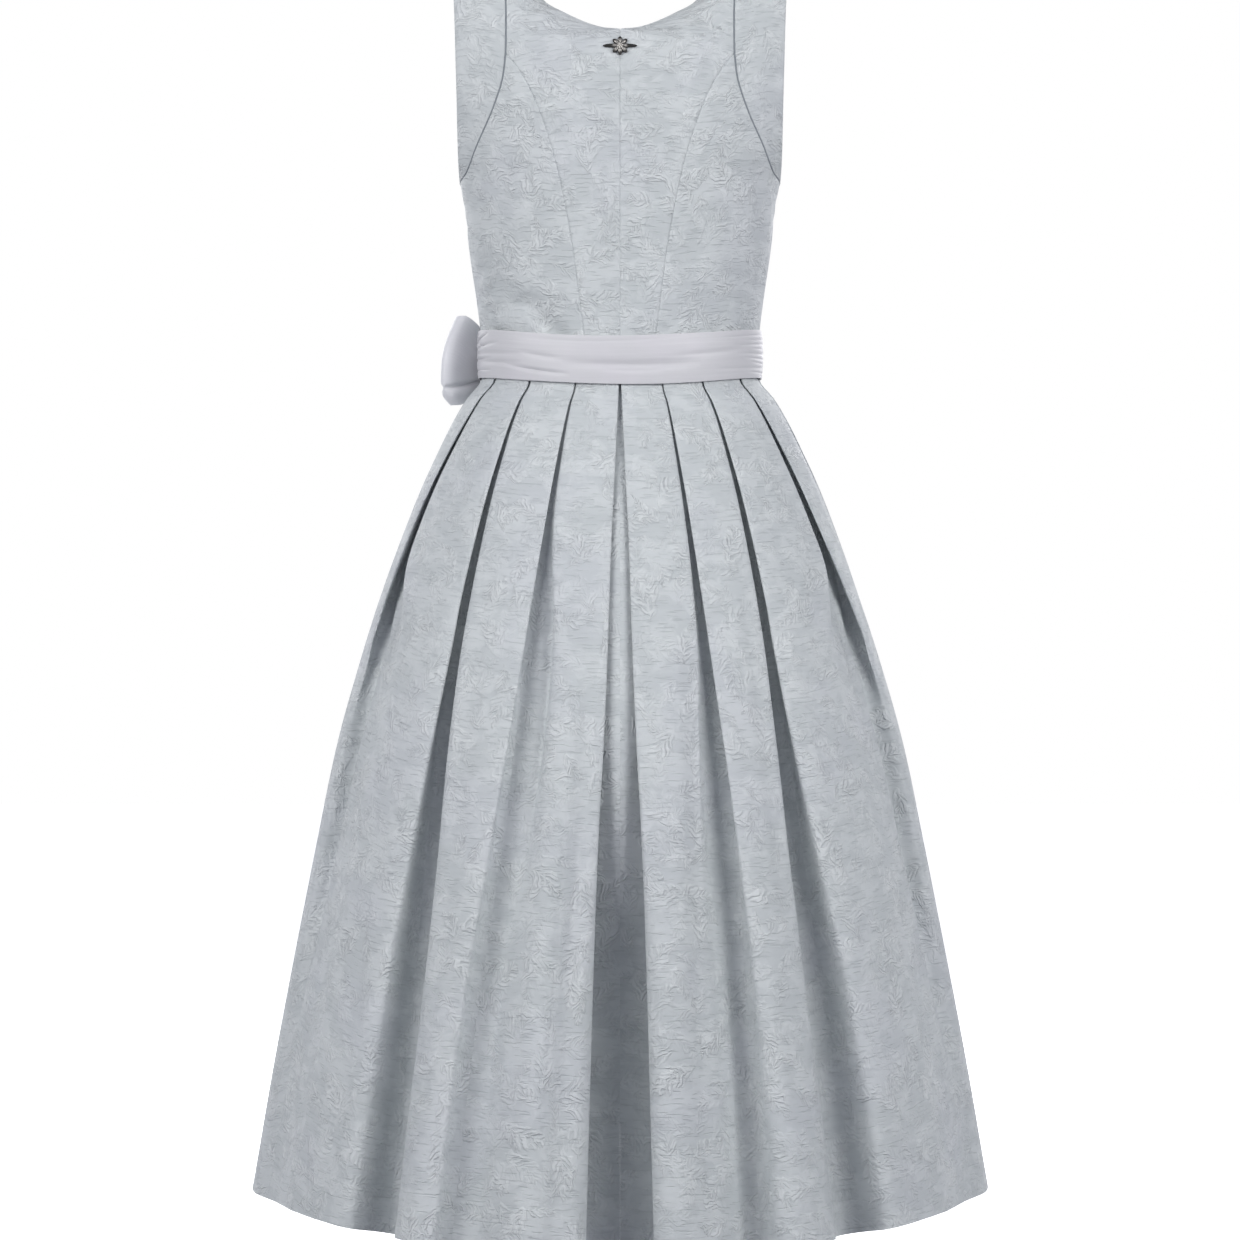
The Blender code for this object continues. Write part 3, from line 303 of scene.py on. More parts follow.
SOFT_FOLDS_RIGHT = table(FOLD_COLUMNS, [
    (0, 0.36, 0.34, 0.580, 1.320, 0.0150, 0.0064),
    (0, 0.62, 0.55, 0.800, 1.280, 0.0070, -0.0020),
    (0, 0.14, 0.10, 0.760, 1.150, 0.0070, -0.0010),
    (1, 0.34, 0.26, 0.600, 1.000, 0.0130, 0.0024),
    (1, 0.18, 0.14, 0.860, 1.300, 0.0080, -0.0014),
    (2, 0.32, 0.34, 0.600, 1.400, 0.0090, -0.0016),
    (2, 0.84, 0.82, 0.580, 1.080, 0.0100, 0.0150),
    (2, 0.20, 0.20, 0.820, 1.290, 0.0120, 0.0014),
    (3, 0.34, 0.34, 0.620, 1.240, 0.0140, 0.0030),
    (4, 0.30, 0.26, 0.600, 1.180, 0.0120, 0.0028),
    (5, 0.26, 0.20, 0.560, 1.020, 0.0120, 0.0022),
    (5, 0.46, 0.44, 0.840, 1.300, 0.0090, -0.0018),
    (6, 0.30, 0.26, 0.700, 1.290, 0.0130, 0.0028),
])

# How a fold fades towards its ends, its share of the width at the waist, and what it gains below.
FOLD_FADE = 0.9
FOLD_WIDTH_AT_TOP = 0.55
FOLD_WIDENING = 0.6

# Rows of the skirt, crowded towards the waist, and steps of the grid for each step of a pleat.
SKIRT_ROWS = 116
ROW_CROWDING = 1.2
PLEAT_FINENESS = 7

# How round the pleats are: little at the top, wholly once they stand open.
LEAST_ROUNDING = 0.16
ROUNDING_FROM = 0.55
ROUNDING_RATE = 2.4
SOFTENINGS = 3

# The tie and the band of the apron lie round the waist.
BAND = table("drop half_width half_depth", [
    (0.3735, 0.1325, 0.0972),
    (0.3880, 0.1331, 0.0980),
    (0.4040, 0.1330, 0.0980),
    (BAND_BOTTOM_DROP, 0.1326, 0.0977),
])
BAND_JOIN_TURN = 112.0
BAND_ROWS = 61
BAND_COLUMNS = 300
BAND_PADDING = 0.0009

# The height of the band varies a little along it: how far, how fast and from where.
BAND_SWINGS = [(0.0007, 2.3, 0.6), (0.0004, 5.1, 0.0)]

# Lengthwise creases of the tie: turns in degrees, negative at the wearer's right, and heights as
# shares of the tie's height from its top.
TIE_CREASES = table("turn_start height_start turn_end height_end width depth", [
    (94, 0.30, 66, 0.08, 0.0010, 0.0024),
    (94, 0.42, 56, 0.26, 0.0014, 0.0018),
    (93, 0.50, 42, 0.48, 0.0022, 0.0014),
    (94, 0.62, 60, 0.58, 0.0014, 0.0016),
    (90, 0.66, 42, 0.67, 0.0024, 0.0022),
    (54, 0.70, 20, 0.84, 0.0018, 0.0017),
    (93, 0.83, 62, 0.84, 0.0010, 0.0014),
    (88, 0.20, 72, 0.36, 0.0010, 0.0014),
    (44, 0.42, 22, 0.52, 0.0024, 0.0010),
    (24, 0.60, -34, 0.62, 0.0042, 0.0025),
    (8, 0.72, -18, 0.74, 0.0018, 0.0010),
    (-18, 0.46, -66, 0.38, 0.0026, 0.0009),
    (-42, 0.15, -91, 0.09, 0.0010, 0.0007),
    (-58, 0.23, -91, 0.19, 0.0009, 0.0007),
    (-50, 0.32, -91, 0.29, 0.0014, 0.0009),
    (-64, 0.40, -91, 0.39, 0.0009, 0.0007),
    (-52, 0.49, -91, 0.51, 0.0014, 0.0008),
    (-58, 0.59, -91, 0.61, 0.0010, 0.0009),
    (-64, 0.68, -91, 0.71, 0.0009, 0.0008),
    (-40, 0.79, -91, 0.80, 0.0015, 0.0008),
    (-62, 0.88, -91, 0.90, 0.0009, 0.0007),
    (46, 0.14, -24, 0.10, 0.0016, 0.0005),
])
BAND_CREASES = table("turn_start height_start turn_end height_end width depth", [
    (113, 0.30, 142, 0.34, 0.0012, 0.0007),
    (113, 0.62, 150, 0.58, 0.0014, 0.0008),
    (150, 0.76, 205, 0.72, 0.0024, 0.0005),
    (246, 0.40, 214, 0.44, 0.0012, 0.0006),
    (247, 0.70, 220, 0.66, 0.0012, 0.0007),
])

# The apron lies outside the skirt's outline, gathered in waves and, under its band, small tucks.
# The waves are uneven: how far they stray, and how fast.
APRON_GATHERS = 12
APRON_STRAYS = [(0.5, 0.31), (0.3, 0.13)]
APRON_EDGE_TURN = 110.0
APRON_BASE = 0.0021
APRON_WAVE = table("drop height", [(0.4178, 0.0020), (0.4800, 0.0042), (0.6500, 0.0055),
                                   (APRON_HEM_DROP, 0.0085)])
APRON_ROWS = 64
APRON_COLUMNS = 340
TUCKS = 74
TUCK_HEIGHT = 0.0011
TUCK_LENGTH = 0.050
APRON_ROW_CROWDING = 1.35

# The knot: its place on the band, its half sizes along, outwards and up, and how round it is.
KNOT_TURN = 126.0
KNOT_DROP = 0.3960
KNOT_HALF = (0.0140, 0.0095, 0.0190)
KNOT_PROUD = 0.0098
KNOT_POWER = 0.7
KNOT_LIFT = 0.0006
KNOT_ROWS = 64
KNOT_COLUMNS = 96

# Creases over the knot, by their depth, place, slant and width.
KNOT_CREASES = [(0.055, 1.1, -0.8, 0.16), (0.045, -0.5, 1.1, 0.13), (0.030, 2.3, 0.5, 0.12)]

# The loops: how far they reach from the middle of the knot, how deep they open, and how they slant,
# lean and widen on the way.
LOOP_REACH = 0.0768
LOOP_DEPTH = 0.013
LOOP_NARROW_DEPTH = 0.35
LOOP_START = 0.055
LOOP_COLUMNS = 120
LOOP_ROWS = 54
LOOP_SWEEP = 0.002
LOOP_SLANT = 0.020
LOOP_ROLL = 0.016
LOOP_LEAN = 0.0035
LOOP_HALF_HEIGHTS = (0.0150, 0.0446)
LOOP_SHORTER_BELOW = 0.885
LOOP_OPENS = (1.08, 0.8)

# Creases of the loops: those that fan from the knot, the fine ones, and the level ones by their
# height, width and depth.
LOOP_FAN = 0.0011
LOOP_FANNING = 9.0
LOOP_FINE = 0.0004
LOOP_FINENESS = 17
LOOP_LEVELS = [(-0.60, 0.055, 0.0036), (-0.80, 0.13, -0.0016)]
LOOP_LEVELS_GROW = 2.4

# The ends of the bow: the middle of the ribbon, its half width, and how far it lies outside the
# skirt's outline. A fold runs down them, they are gathered at the top, and wander a little.
BOW_END_COLUMNS = "drop turn half_width offset"
BOW_END_FRONT = table(BOW_END_COLUMNS, [
    (0.41512, 127.6, 0.0080, 0.0140), (0.4370, 130.0, 0.0150, 0.0140),
    (0.4580, 131.0, 0.0215, 0.0150), (0.4850, 131.5, 0.0260, 0.0155),
    (0.5180, 132.5, 0.0300, 0.0160), (0.5600, 133.5, 0.0325, 0.0165),
    (0.6150, 134.5, 0.0340, 0.0170), (0.6800, 135.5, 0.0355, 0.0175),
    (0.7600, 136.0, 0.0365, 0.0180), (0.8200, 136.5, 0.0370, 0.0185)])
BOW_END_SIDE = table(BOW_END_COLUMNS, [
    (0.41495, 124.2, 0.0080, 0.0105), (0.4370, 121.0, 0.0150, 0.0098),
    (0.4580, 119.5, 0.0210, 0.0108), (0.4850, 118.5, 0.0250, 0.0113),
    (0.5180, 117.5, 0.0290, 0.0118), (0.5600, 117.0, 0.0320, 0.0123),
    (0.6150, 116.5, 0.0335, 0.0128), (0.6800, 116.0, 0.0350, 0.0133),
    (0.7400, 116.0, 0.0360, 0.0138), (0.7900, 116.0, 0.0365, 0.0143)])
BOW_END_ROWS = 130
BOW_END_ACROSS = 49
BOW_END_FOLD = 0.0012
BOW_END_SLANT = 0.016
BOW_END_GATHER = 0.0007
BOW_END_WANDER = 0.0008

# The ornament. Its back lies ORNAMENT_PROUD outside the middle of the cloth. Its relief is made of
# bells of the distance from its middle, by their height, place and width, and of its leaves' veins,
# by their height, slant and rate.
ORNAMENT_DROP = 0.1232
ORNAMENT_PROUD = 0.00125
ORNAMENT_THICKNESS = 0.0022
ORNAMENT_COLUMNS = 224
ORNAMENT_RINGS = 34
PETALS = 8
PETAL_REACH = (0.0046, 0.0088)
PETAL_POWER = 0.8
CAST_LEAF_REACH = 0.0155
CAST_LEAF_WIDTH = 0.22
FLORETS = 7
PETAL_RIDGE = (0.0007, 0.0045, 0.0028)
FLORET_RELIEF = (0.0007, 0.0017, 0.0009)
HEART_RELIEF = (0.0008, 0.0, 0.0011)
CAST_VEINS = (0.0002, 0.02, 5200)
FULLY_RAISED = 0.0012
CAST_EDGES = math.radians(50)

# The jacquard's leaves, measured in their cells: how far they stray from even places, how their
# midribs bend, their half width, how that narrows, how soft they end, and their veins.
LEAF_STRAY = 0.75
LEAF_BEND = 0.35
LEAF_HALF_WIDTH = 0.27
LEAF_NARROWING = -0.75
LEAF_EDGE = (-0.01, 0.07)
VEIN_SLANT = -1.15
VEIN_GRAIN = (1.5, 2.2)
VEIN_WAVE = 0.10
VEIN_EDGE = (0.38, 0.64)
MIDRIB = (0.0, 0.035, 0.8, 0.0)

# Size of the leaves in metres, where they start and the pitch of their veins, for both kinds.
BIG_LEAVES = (0.042, 0.0, 0.0060)
SMALL_LEAVES = (0.030, 0.43, 0.0048)
SMALL_STRENGTH = 0.80
SWAY_SCALE = 55.0
SWAY = (0.013, 0.013, 0.0)
THREAD_PITCH = 0.0009

# What each layer of a weave adds to its height and to its tone.
JACQUARD_HEIGHT = dict(veins=0.75, patch=0.16, slub=-0.28, band=0.22, thread=0.04)
JACQUARD_TONE = dict(veins=0.62, band=0.40, patch=0.38, slub=-0.36)
SATIN_HEIGHT = dict(streak=0.5, soft=0.9, fine=0.15)
SATIN_TONE = dict(streak=0.6, soft=0.4)

# The camera stands level with the middle of the dress, behind it, as far off as the width of the
# dress and the spread of its folds tell.
CAMERA_DISTANCE = 2.6
CAMERA_DROP = 0.644
FRAME_WIDTH = 1.1656
SENSOR = 36.0
FLOOR_DROP = 1.42
FLOOR_REACH = 9.0

# Light from all round, and soft lamps by their name, turn and power. They stand equally far from
# the dress and equally high, and are aimed at the skirt.
AMBIENT = (0.128, 0.134, 0.178)
LAMP_SIZE = 2.0
LAMP_REACH = 2.6
LAMP_HEIGHT = 0.45
LAMP_AIM = -0.80
LAMPS = [("left key", 48.0, 54.5), ("right key", -48.0, 53.0), ("back fill", 4.0, 3.6),
         ("front left key", 150.0, 32.0), ("front right key", -150.0, 32.0)]


def smooth(at, knots, values):
    """Cubic curve through the knots that does not swing past their values."""
    at = np.clip(at, knots[0], knots[-1])
    steps = np.diff(knots)
    slopes = np.diff(values) / steps
    product = slopes[:-1] * slopes[1:]
    total = np.where(product > 0, slopes[:-1] + slopes[1:], 1.0)
    inner = np.where(product > 0, 2 * product / total, 0.0)
    tangents = np.concatenate(([slopes[0]], inner, [slopes[-1]]))
    cell = np.clip(np.searchsorted(knots, at, side="right") - 1, 0, len(steps) - 1)
    s = (at - knots[cell]) / steps[cell]
    rise = steps[cell] * (s * (1 - s) ** 2 * tangents[cell] - s ** 2 * (1 - s) * tangents[cell + 1])
    return values[cell] * (1 + 2 * s) * (1 - s) ** 2 + values[cell + 1] * s ** 2 * (3 - 2 * s) + rise


def at_drop(rows, name, drop):
    """Column of a table, read at a drop."""
    return smooth(drop, rows["drop"], rows[name])


def outline_point(rows, turn, drop, proud=0.0, hang=0.0):
    """Point of a table's elliptical outline at a turn in radians, lower before and behind.

    It may stand proud of the outline and hang lower.
    """
    x = (at_drop(rows, "half_width", drop) + proud) * np.sin(turn)
    y = (at_drop(rows, "half_depth", drop) + proud) * np.cos(turn)
    z = -drop - hang - WAIST_DIP * np.cos(turn) ** 2
    return np.stack(np.broadcast_arrays(x, y, z), axis=-1)


def unit(vectors):
    """The same vectors, brought to length 1."""
    return vectors / np.maximum(np.linalg.norm(vectors, axis=-1, keepdims=True), 1e-12)


def travelled(grid, axis):
    """Distance along the rows (axis 1) or the columns (axis 0) of a grid, from its first line."""
    steps = np.linalg.norm(np.diff(grid, axis=axis), axis=-1)
    start = np.zeros_like(np.take(steps, [0], axis=axis))
    return np.concatenate((start, np.cumsum(steps, axis=axis)), axis=axis)


def distance_along(points):
    """Distance of each point of a line from the first."""
    return np.concatenate(([0.0], np.cumsum(np.linalg.norm(np.diff(points, axis=0), axis=1))))


def read_line(at, knots, line):
    """Points of a line of two columns, read between the knots."""
    return np.stack([np.interp(at, knots, line[:, 0]), np.interp(at, knots, line[:, 1])], axis=-1)


def grid_normals(grid):
    """Unit normals: the cross product of a grid's two directions, facing away from the body."""
    normals = unit(np.cross(np.gradient(grid, axis=1), np.gradient(grid, axis=0)))
    return normals * np.sign(np.sum(normals * grid * [1, 1, 0]))


def bell(distance, width):
    """Bell curve of a distance, 1 at the middle."""
    return np.exp(-(distance / width) ** 2)


def ease(value):
    """Smooth step from 0 at 0 to 1 at 1."""
    value = np.clip(value, 0.0, 1.0)
    return value * value * (3 - 2 * value)


# Meshes

def new_mesh(name, points, faces, corners):
    """Closed mesh from arrays of points, four-sided faces and the pattern's place at their corners.

    The faces are turned round if the volume that they enclose comes out negative.
    """
    a, b, c, d = (points[faces[:, index]] for index in range(4))
    if np.sum(a * np.cross(b - a, c - a)) + np.sum(a * np.cross(c - a, d - a)) < 0:
        faces, corners = faces[:, ::-1], corners[:, ::-1]
    mesh = bpy.data.meshes.new(name)
    mesh.vertices.add(len(points))
    mesh.vertices.foreach_set("co", points.astype(np.float32).ravel())
    mesh.loops.add(faces.size)
    mesh.loops.foreach_set("vertex_index", faces.astype(np.int32).ravel())
    mesh.polygons.add(len(faces))
    mesh.polygons.foreach_set("loop_start", np.arange(0, faces.size, 4, dtype=np.int32))
    mesh.update(calc_edges=True)
    layer = mesh.uv_layers.new(name="cloth")
    layer.data.foreach_set("uv", corners.astype(np.float32).ravel())
    mesh.shade_smooth()
    mesh.set_sharp_from_angle(angle=SHARP_FOLD)
    return mesh


def put_object(name, data):
    """New object in the scene."""
    placed = bpy.data.objects.new(name, data)
    bpy.context.scene.collection.objects.link(placed)
    return placed


def ring_faces(number):
    """Four-sided faces between the rows of a grid of numbered points; each row is a closed ring."""
    turned = np.roll(number, -1, axis=1)
    return np.stack([number[:-1], turned[:-1], turned[1:], number[1:]], axis=-1).reshape(-1, 4)


def face_corners(values):
    """The four corner values of each cell of a grid, in the order of its faces."""
    return np.stack([values[:-1, :-1], values[:-1, 1:], values[1:, 1:], values[1:, :-1]], axis=2)


def shell(name, middle, thickness, side=1, anchors=None):
    """Thin closed wall round a grid of middle points, half of it outside and half inside.

    The pattern's place is the distance along each row from the column named by anchors, and the
    distance down each column.
    """
    rows, columns = middle.shape[:2]
    half = grid_normals(middle) * (thickness / 2)
    number = np.arange(rows * columns).reshape(rows, columns)
    along, down = travelled(middle, 1), travelled(middle, 0)
    if anchors is None:
        anchors = np.full(columns - 1, columns // 2)
    start = np.array([sum(name.encode()) * step % 1.0 for step in PATTERN_STARTS])
    anchored = along[:, anchors]
    shift = np.stack([anchored[:-1], anchored[:-1], anchored[1:], anchored[1:]], axis=2)
    place = np.stack([face_corners(along) - shift, face_corners(down)], axis=-1)
    place = (place + start + anchors[None, :, None, None] * [PATTERN_SHIFT, 0.0]).reshape(-1, 4, 2)
    skin = face_corners(number).reshape(-1, 4)
    edges = [(number[0, 1:], number[0, :-1]), (number[-1, :-1], number[-1, 1:]),
             (number[:-1, 0], number[1:, 0]), (number[1:, -1], number[:-1, -1])]
    rims = np.concatenate([np.stack([a, b, b + rows * columns, a + rows * columns], axis=-1)
                           for a, b in edges])
    flat = np.stack([along.reshape(-1), down.reshape(-1)], axis=-1) + start
    faces = np.concatenate([skin, skin[:, ::-1] + rows * columns, rims])
    corners = np.concatenate([place, place[:, ::-1], flat[rims % (rows * columns)]])
    points = np.concatenate([(middle + half).reshape(-1, 3), (middle - half).reshape(-1, 3)])
    return new_mesh(name, points * [side, 1, 1], faces, corners)


def tube(name, centres, outward, radius, sides, side=1):
    """Closed round ring along closed centres; outward lists a direction to lay its section by."""
    path = unit(np.roll(centres, -1, axis=0) - np.roll(centres, 1, axis=0))
    sideways = unit(np.cross(path, outward))
    outward = np.cross(sideways, path)
    angle = np.linspace(0, 2 * math.pi, sides, endpoint=False)[:, None, None]
    rings = centres + radius * (np.cos(angle) * outward + np.sin(angle) * sideways)
    number = np.arange(rings.shape[0] * rings.shape[1]).reshape(rings.shape[:2])
    faces = ring_faces(np.concatenate((number, number[:1])))
    place = np.broadcast_arrays(distance_along(centres), np.arange(sides)[:, None] * radius)
    corners = np.stack(place, axis=-1).reshape(-1, 2)[faces]
    return new_mesh(name, rings.reshape(-1, 3) * [side, 1, 1], faces, corners)


def place_piece(node, mesh, material):
    """Piece that stands for a node of the plain solids."""
    mesh.materials.append(material)
    piece = put_object(mesh.name, mesh)
    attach(piece, "root")
    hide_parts(node)
    return piece


def cloth_piece(node, middle, thickness, material, slot, held, rests_on, **shape):
    """Piece of cloth on a grid of middle points."""
    piece = place_piece(node, shell(node + "_cloth", middle, thickness, **shape), material)


# Bodice

def torso_column(name, root):
    """Torso column read by the root of the drop, in which the shoulder is round."""
    return smooth(root, np.sqrt(TORSO["drop"]), TORSO[name])


def torso_from_shares(x_share, y_share, root):
    """Point at shares of the half width and of the depth; y_share is positive behind."""
    depth = np.where(y_share >= 0, torso_column("back", root), torso_column("front", root))
    x = torso_column("half_width", root) * x_share
    y = depth * y_share
    drop = root ** 2
    away = ((np.abs(x) - BUST_APART) / BUST_SPREAD[0]) ** 2 + ((drop - BUST_DROP) / BUST_SPREAD[1]) ** 2
    y = y - np.where(y_share < 0, BUST_FULLNESS * np.exp(-away), 0.0)
    beyond = np.maximum(np.abs(x) - SHOULDER_SLOPE_START, 0.0)
    slope = SHOULDER_SLOPE * beyond * np.exp(-(drop / SHOULDER_SLOPE_FADE) ** 2)
    return np.stack([x, y, -drop - slope], axis=-1)


def torso_by_turn(turn, root):
    """Torso point at a turn in radians."""
    power = torso_column("power", root)
    reach = (np.abs(np.sin(turn)) ** power + np.abs(np.cos(turn)) ** power) ** (1 / power)
    return torso_from_shares(np.sin(turn) / reach, np.cos(turn) / reach, root)


def torso_by_distance(x, signed_root):
    """Torso point at a distance from the middle; the root is negative before the shoulder."""
    root = np.abs(signed_root)
    power = torso_column("power", root)
    x_share = np.clip(np.abs(x) / torso_column("half_width", root), 0.0, 0.99999)
    y_share = (1 - x_share ** power) ** (1 / power)
    return torso_from_shares(x_share, np.where(signed_root < 0, -y_share, y_share), root)


def outward_normals(surface, first, second, step=NORMAL_STEP):
    """Unit normals of a surface of two parameters, pointing away from the body."""
    along_first = surface(first + step, second) - surface(first - step, second)
    along_second = surface(first, second + step) - surface(first, second - step)
    normals = unit(np.cross(along_first, along_second))
    facing = np.sum(normals * (surface(first, second) - INSIDE), axis=-1, keepdims=True)
    return np.where(facing < 0, -normals, normals)


def seam_line(knots, before, count):
    """Seam given by distance and drop, as points of turn and root of the drop, evenly spaced."""
    knots = np.array(knots)
    along = distance_along(knots)
    fine = np.linspace(0.0, along[-1], SEAM_SAMPLES)
    x = smooth(fine, along, knots[:, 0])
    root = np.sqrt(np.maximum(smooth(fine, along, knots[:, 1]), 0.0))
    power = torso_column("power", root)
    x_share = np.clip(x / torso_column("half_width", root), 0.0, 1.0)
    turn = np.arctan2(x_share, np.maximum(1 - x_share ** power, 0.0) ** (1 / power))
    if before:
        turn = math.pi - turn
    along = distance_along(torso_by_turn(turn, root))
    return read_line(np.linspace(0.0, along[-1], count), along, np.stack([turn, root], axis=-1))


def crowded_shares(count):
    """Shares from 0 to 1 that lie closer together near both ends."""
    share = np.linspace(0, 1, count)
    return share - CLOSER_AT_SEAMS * np.sin(share * 2 * math.pi) / (2 * math.pi)


def closer_at_ends(points):
    """The same line with its points closer together near both ends."""
    return read_line(crowded_shares(len(points)) * (len(points) - 1), np.arange(len(points)), points)


def closer_at_last(points):
    """The same line with its points closer together near its last end."""
    share = np.linspace(0, 1, len(points))
    share = share + CLOSER_AT_SEAMS * np.sin(share * math.pi) / math.pi
    return read_line(share * (len(points) - 1), np.arange(len(points)), points)


def waist_seam(start_turn, end_turn, count):
    """Points of turn and root of the drop along the waist, lower before and behind."""
    turn = np.linspace(start_turn, end_turn, count)
    drop = WAIST_DROP + WAIST_DIP * np.cos(turn) ** 2
    return np.stack([turn, np.sqrt(drop)], axis=-1)


def share_between(points):
    """How far along each point lies between the ends of a line."""
    along = distance_along(points)
    return along / along[-1]


def blend_edges(bottom, top, start, end):
    """Grid of parameters between four edge curves; rows run from bottom to top."""
    u, v = share_between(bottom)[None, :, None], share_between(start)[:, None, None]
    ruled = (1 - v) * bottom[None] + v * top[None] + (1 - u) * start[:, None] + u * end[:, None]
    corners = (1 - v) * ((1 - u) * bottom[0] + u * bottom[-1]) + v * ((1 - u) * top[0] + u * top[-1])
    return ruled - corners


def border_values(rows, columns, bottom, end, top, start):
    """Values in the order of the border edges; end and start may list one for each row."""
    end = np.broadcast_to(end, rows - 1)
    start = np.broadcast_to(start, rows - 1)
    return np.concatenate((np.full(columns - 1, bottom), end, np.full(columns - 1, top), start[::-1]))


def draw_in_edges(grid, normals, margins):
    """Move the border of a grid inwards, by a margin for each border edge, in its own surface."""
    rows, columns = grid.shape[:2]
    row = np.concatenate((np.zeros(columns - 1), np.arange(rows - 1), np.full(columns - 1, rows - 1),
                          np.arange(rows - 1, 0, -1))).astype(int)
    column = np.concatenate((np.arange(columns - 1), np.full(rows - 1, columns - 1),
                             np.arange(columns - 1, 0, -1), np.zeros(rows - 1))).astype(int)
    loop = grid[row, column]
    centre = grid.mean(axis=(0, 1))
    winding = np.sum(np.cross(loop - centre, np.roll(loop, -1, axis=0) - centre), axis=0)
    normal = normals[row, column]
    normal = normal * np.sign(normal @ winding)[:, None]
    before = loop - np.roll(loop, 1, axis=0)
    after = np.roll(loop, -1, axis=0) - loop
    inward = np.stack([unit(np.cross(normal, before)), unit(np.cross(normal, after))], axis=1)
    wanted = np.stack([np.roll(margins, 1), margins], axis=1)
    moved = grid.copy()
    inverse = np.linalg.pinv(inward, rcond=SAME_DIRECTION)
    moved[row, column] = loop + (inverse @ wanted[..., None])[..., 0]
    return moved


def seam_relief(grid, bottom, end, top, start):
    """Dip beside the borders: minus each border's depth times a bell of the distance to it."""
    along, up = travelled(grid, 1), travelled(grid, 0)

    def each_row(depth):
        depth = np.broadcast_to(depth, len(along) - 1)
        return np.append(depth, depth[-1])[:, None]

    dips = [(each_row(start), along), (each_row(end), along[:, -1:] - along),
            (bottom, up), (top, up[-1:] - up)]
    return -sum(depth * bell(distance, SEAM_ROLL_WIDTH) for depth, distance in dips)


def crease_relief(x, y, runs, widths, depths):
    """Troughs along gently bent runs: a bell across each, and half a sine wave along it."""
    relief = np.zeros(x.shape)
    for x_start, y_start, x_end, y_end, width, depth in zip(*runs, widths, depths):
        run_x, run_y = x_end - x_start, y_end - y_start
        length = np.hypot(run_x, run_y)
        place = ((x - x_start) * run_x + (y - y_start) * run_y) / length ** 2
        across = ((x - x_start) * run_y - (y - y_start) * run_x) / length
        across = across + CREASE_BOW * length * (place - 0.5) ** 2
        fade = np.sin(np.clip(place, 0, 1) * math.pi) ** CREASE_FADE
        relief -= depth * bell(across, width) * fade
    return relief


def bodice_creases(points, side):
    """Creases of the bodice at points of the torso.

    Those at the wearer's right lie a little higher, and keep only their own share of the depth.
    """
    arc = np.arctan2(np.abs(points[..., 0]), points[..., 1]) * BODICE_RADIUS
    drop = -points[..., 2]
    depths = BODICE_CREASES["depth"]
    if side < 0:
        drop = drop + HIGHER_AT_RIGHT
        depths = depths * BODICE_CREASES["right"]
    start, end = (np.radians(BODICE_CREASES[key]) * BODICE_RADIUS for key in ("turn_start", "turn_end"))
    runs = (start, BODICE_CREASES["drop_start"], end, BODICE_CREASES["drop_end"])
    return crease_relief(arc, drop, runs, BODICE_CREASES["width"], depths)


def torso_panel(node, grid, margins, sinks, side, sewn):
    """Bodice panel on a grid of turns and roots, drawn in at its seams and lightly creased.

    The rows sewn at the first and at the last column have the very edge turned inwards there.
    """
    turn, root = grid[..., 0], grid[..., 1]
    normals = outward_normals(torso_by_turn, turn, root)
    rows, columns = turn.shape
    middle = draw_in_edges(torso_by_turn(turn, root), normals, border_values(rows, columns, *margins))
    relief = seam_relief(middle, *sinks) + bodice_creases(middle, side)
    relief[:sewn[0], 0] -= SEWN_TURN
    relief[:sewn[1], -1] -= SEWN_TURN
    middle = middle + normals * relief[..., None]
    cloth_piece(node, middle, CLOTH, JACQUARD, "jacquard", "stretched", ["waist_tie_cloth"], side=side)


def centre_panel(node, side, princess, armhole_high, neck, neck_row, before):
    """Panel from the centre seam to the princess seam and over the strap to the shoulder."""
    outer = np.concatenate((princess, armhole_high[1:]))
    rows = len(outer)
    neckline = seam_line(neck, before, rows - neck_row)
    centre_turn = math.pi if before else 0.0
    waist_root = math.sqrt(WAIST_DROP + WAIST_DIP)
    centre_root = np.linspace(waist_root, neckline[0, 1], neck_row + 1)[:-1]
    centre = np.stack([np.full(neck_row, centre_turn), centre_root], axis=-1)
    inner = np.concatenate((centre, neckline))
    bottom = waist_seam(centre_turn, outer[0, 0], CENTRE_COLUMNS)
    top = np.linspace(inner[-1], outer[-1], CENTRE_COLUMNS)
    grid = blend_edges(closer_at_ends(bottom), closer_at_ends(top), inner, outer)
    step = np.arange(rows - 1)
    outer_margin = np.where(step < len(princess) - 1, SEWN_MARGIN, PIPING_MARGIN)
    inner_margin = np.where(step < neck_row, SEWN_MARGIN, 0.0)
    outer_sink = np.where(step < len(princess) - 1, SEAM_SINK, PIPED_SINK)
    inner_sink = np.where(step < neck_row, SEAM_SINK, EDGE_ROLL)
    torso_panel(node, grid, (SEAM_MARGIN, outer_margin, SEAM_MARGIN, inner_margin),
                (0.0, outer_sink, SEAM_SINK, inner_sink), side, (neck_row, len(princess) - 1))


def side_panel(node, side, princess, armhole_low):
    """Panel from the princess seam to the side seam, under the low part of the armhole."""
    rows = len(princess)
    side_turn = math.pi / 2
    bottom = waist_seam(princess[0, 0], side_turn, len(armhole_low))
    side_root = np.linspace(bottom[-1, 1], armhole_low[-1, 1], rows)
    side_seam = np.stack([np.full(rows, side_turn), side_root], axis=-1)
    grid = blend_edges(closer_at_ends(bottom), closer_at_ends(armhole_low),
                       closer_at_last(princess), closer_at_last(side_seam))
    torso_panel(node, grid, (SEAM_MARGIN, SEWN_MARGIN, PIPING_MARGIN, SEWN_MARGIN),
                (0.0, SEAM_SINK, PIPED_SINK, SEAM_SINK), side, (rows - 1, rows - 1))


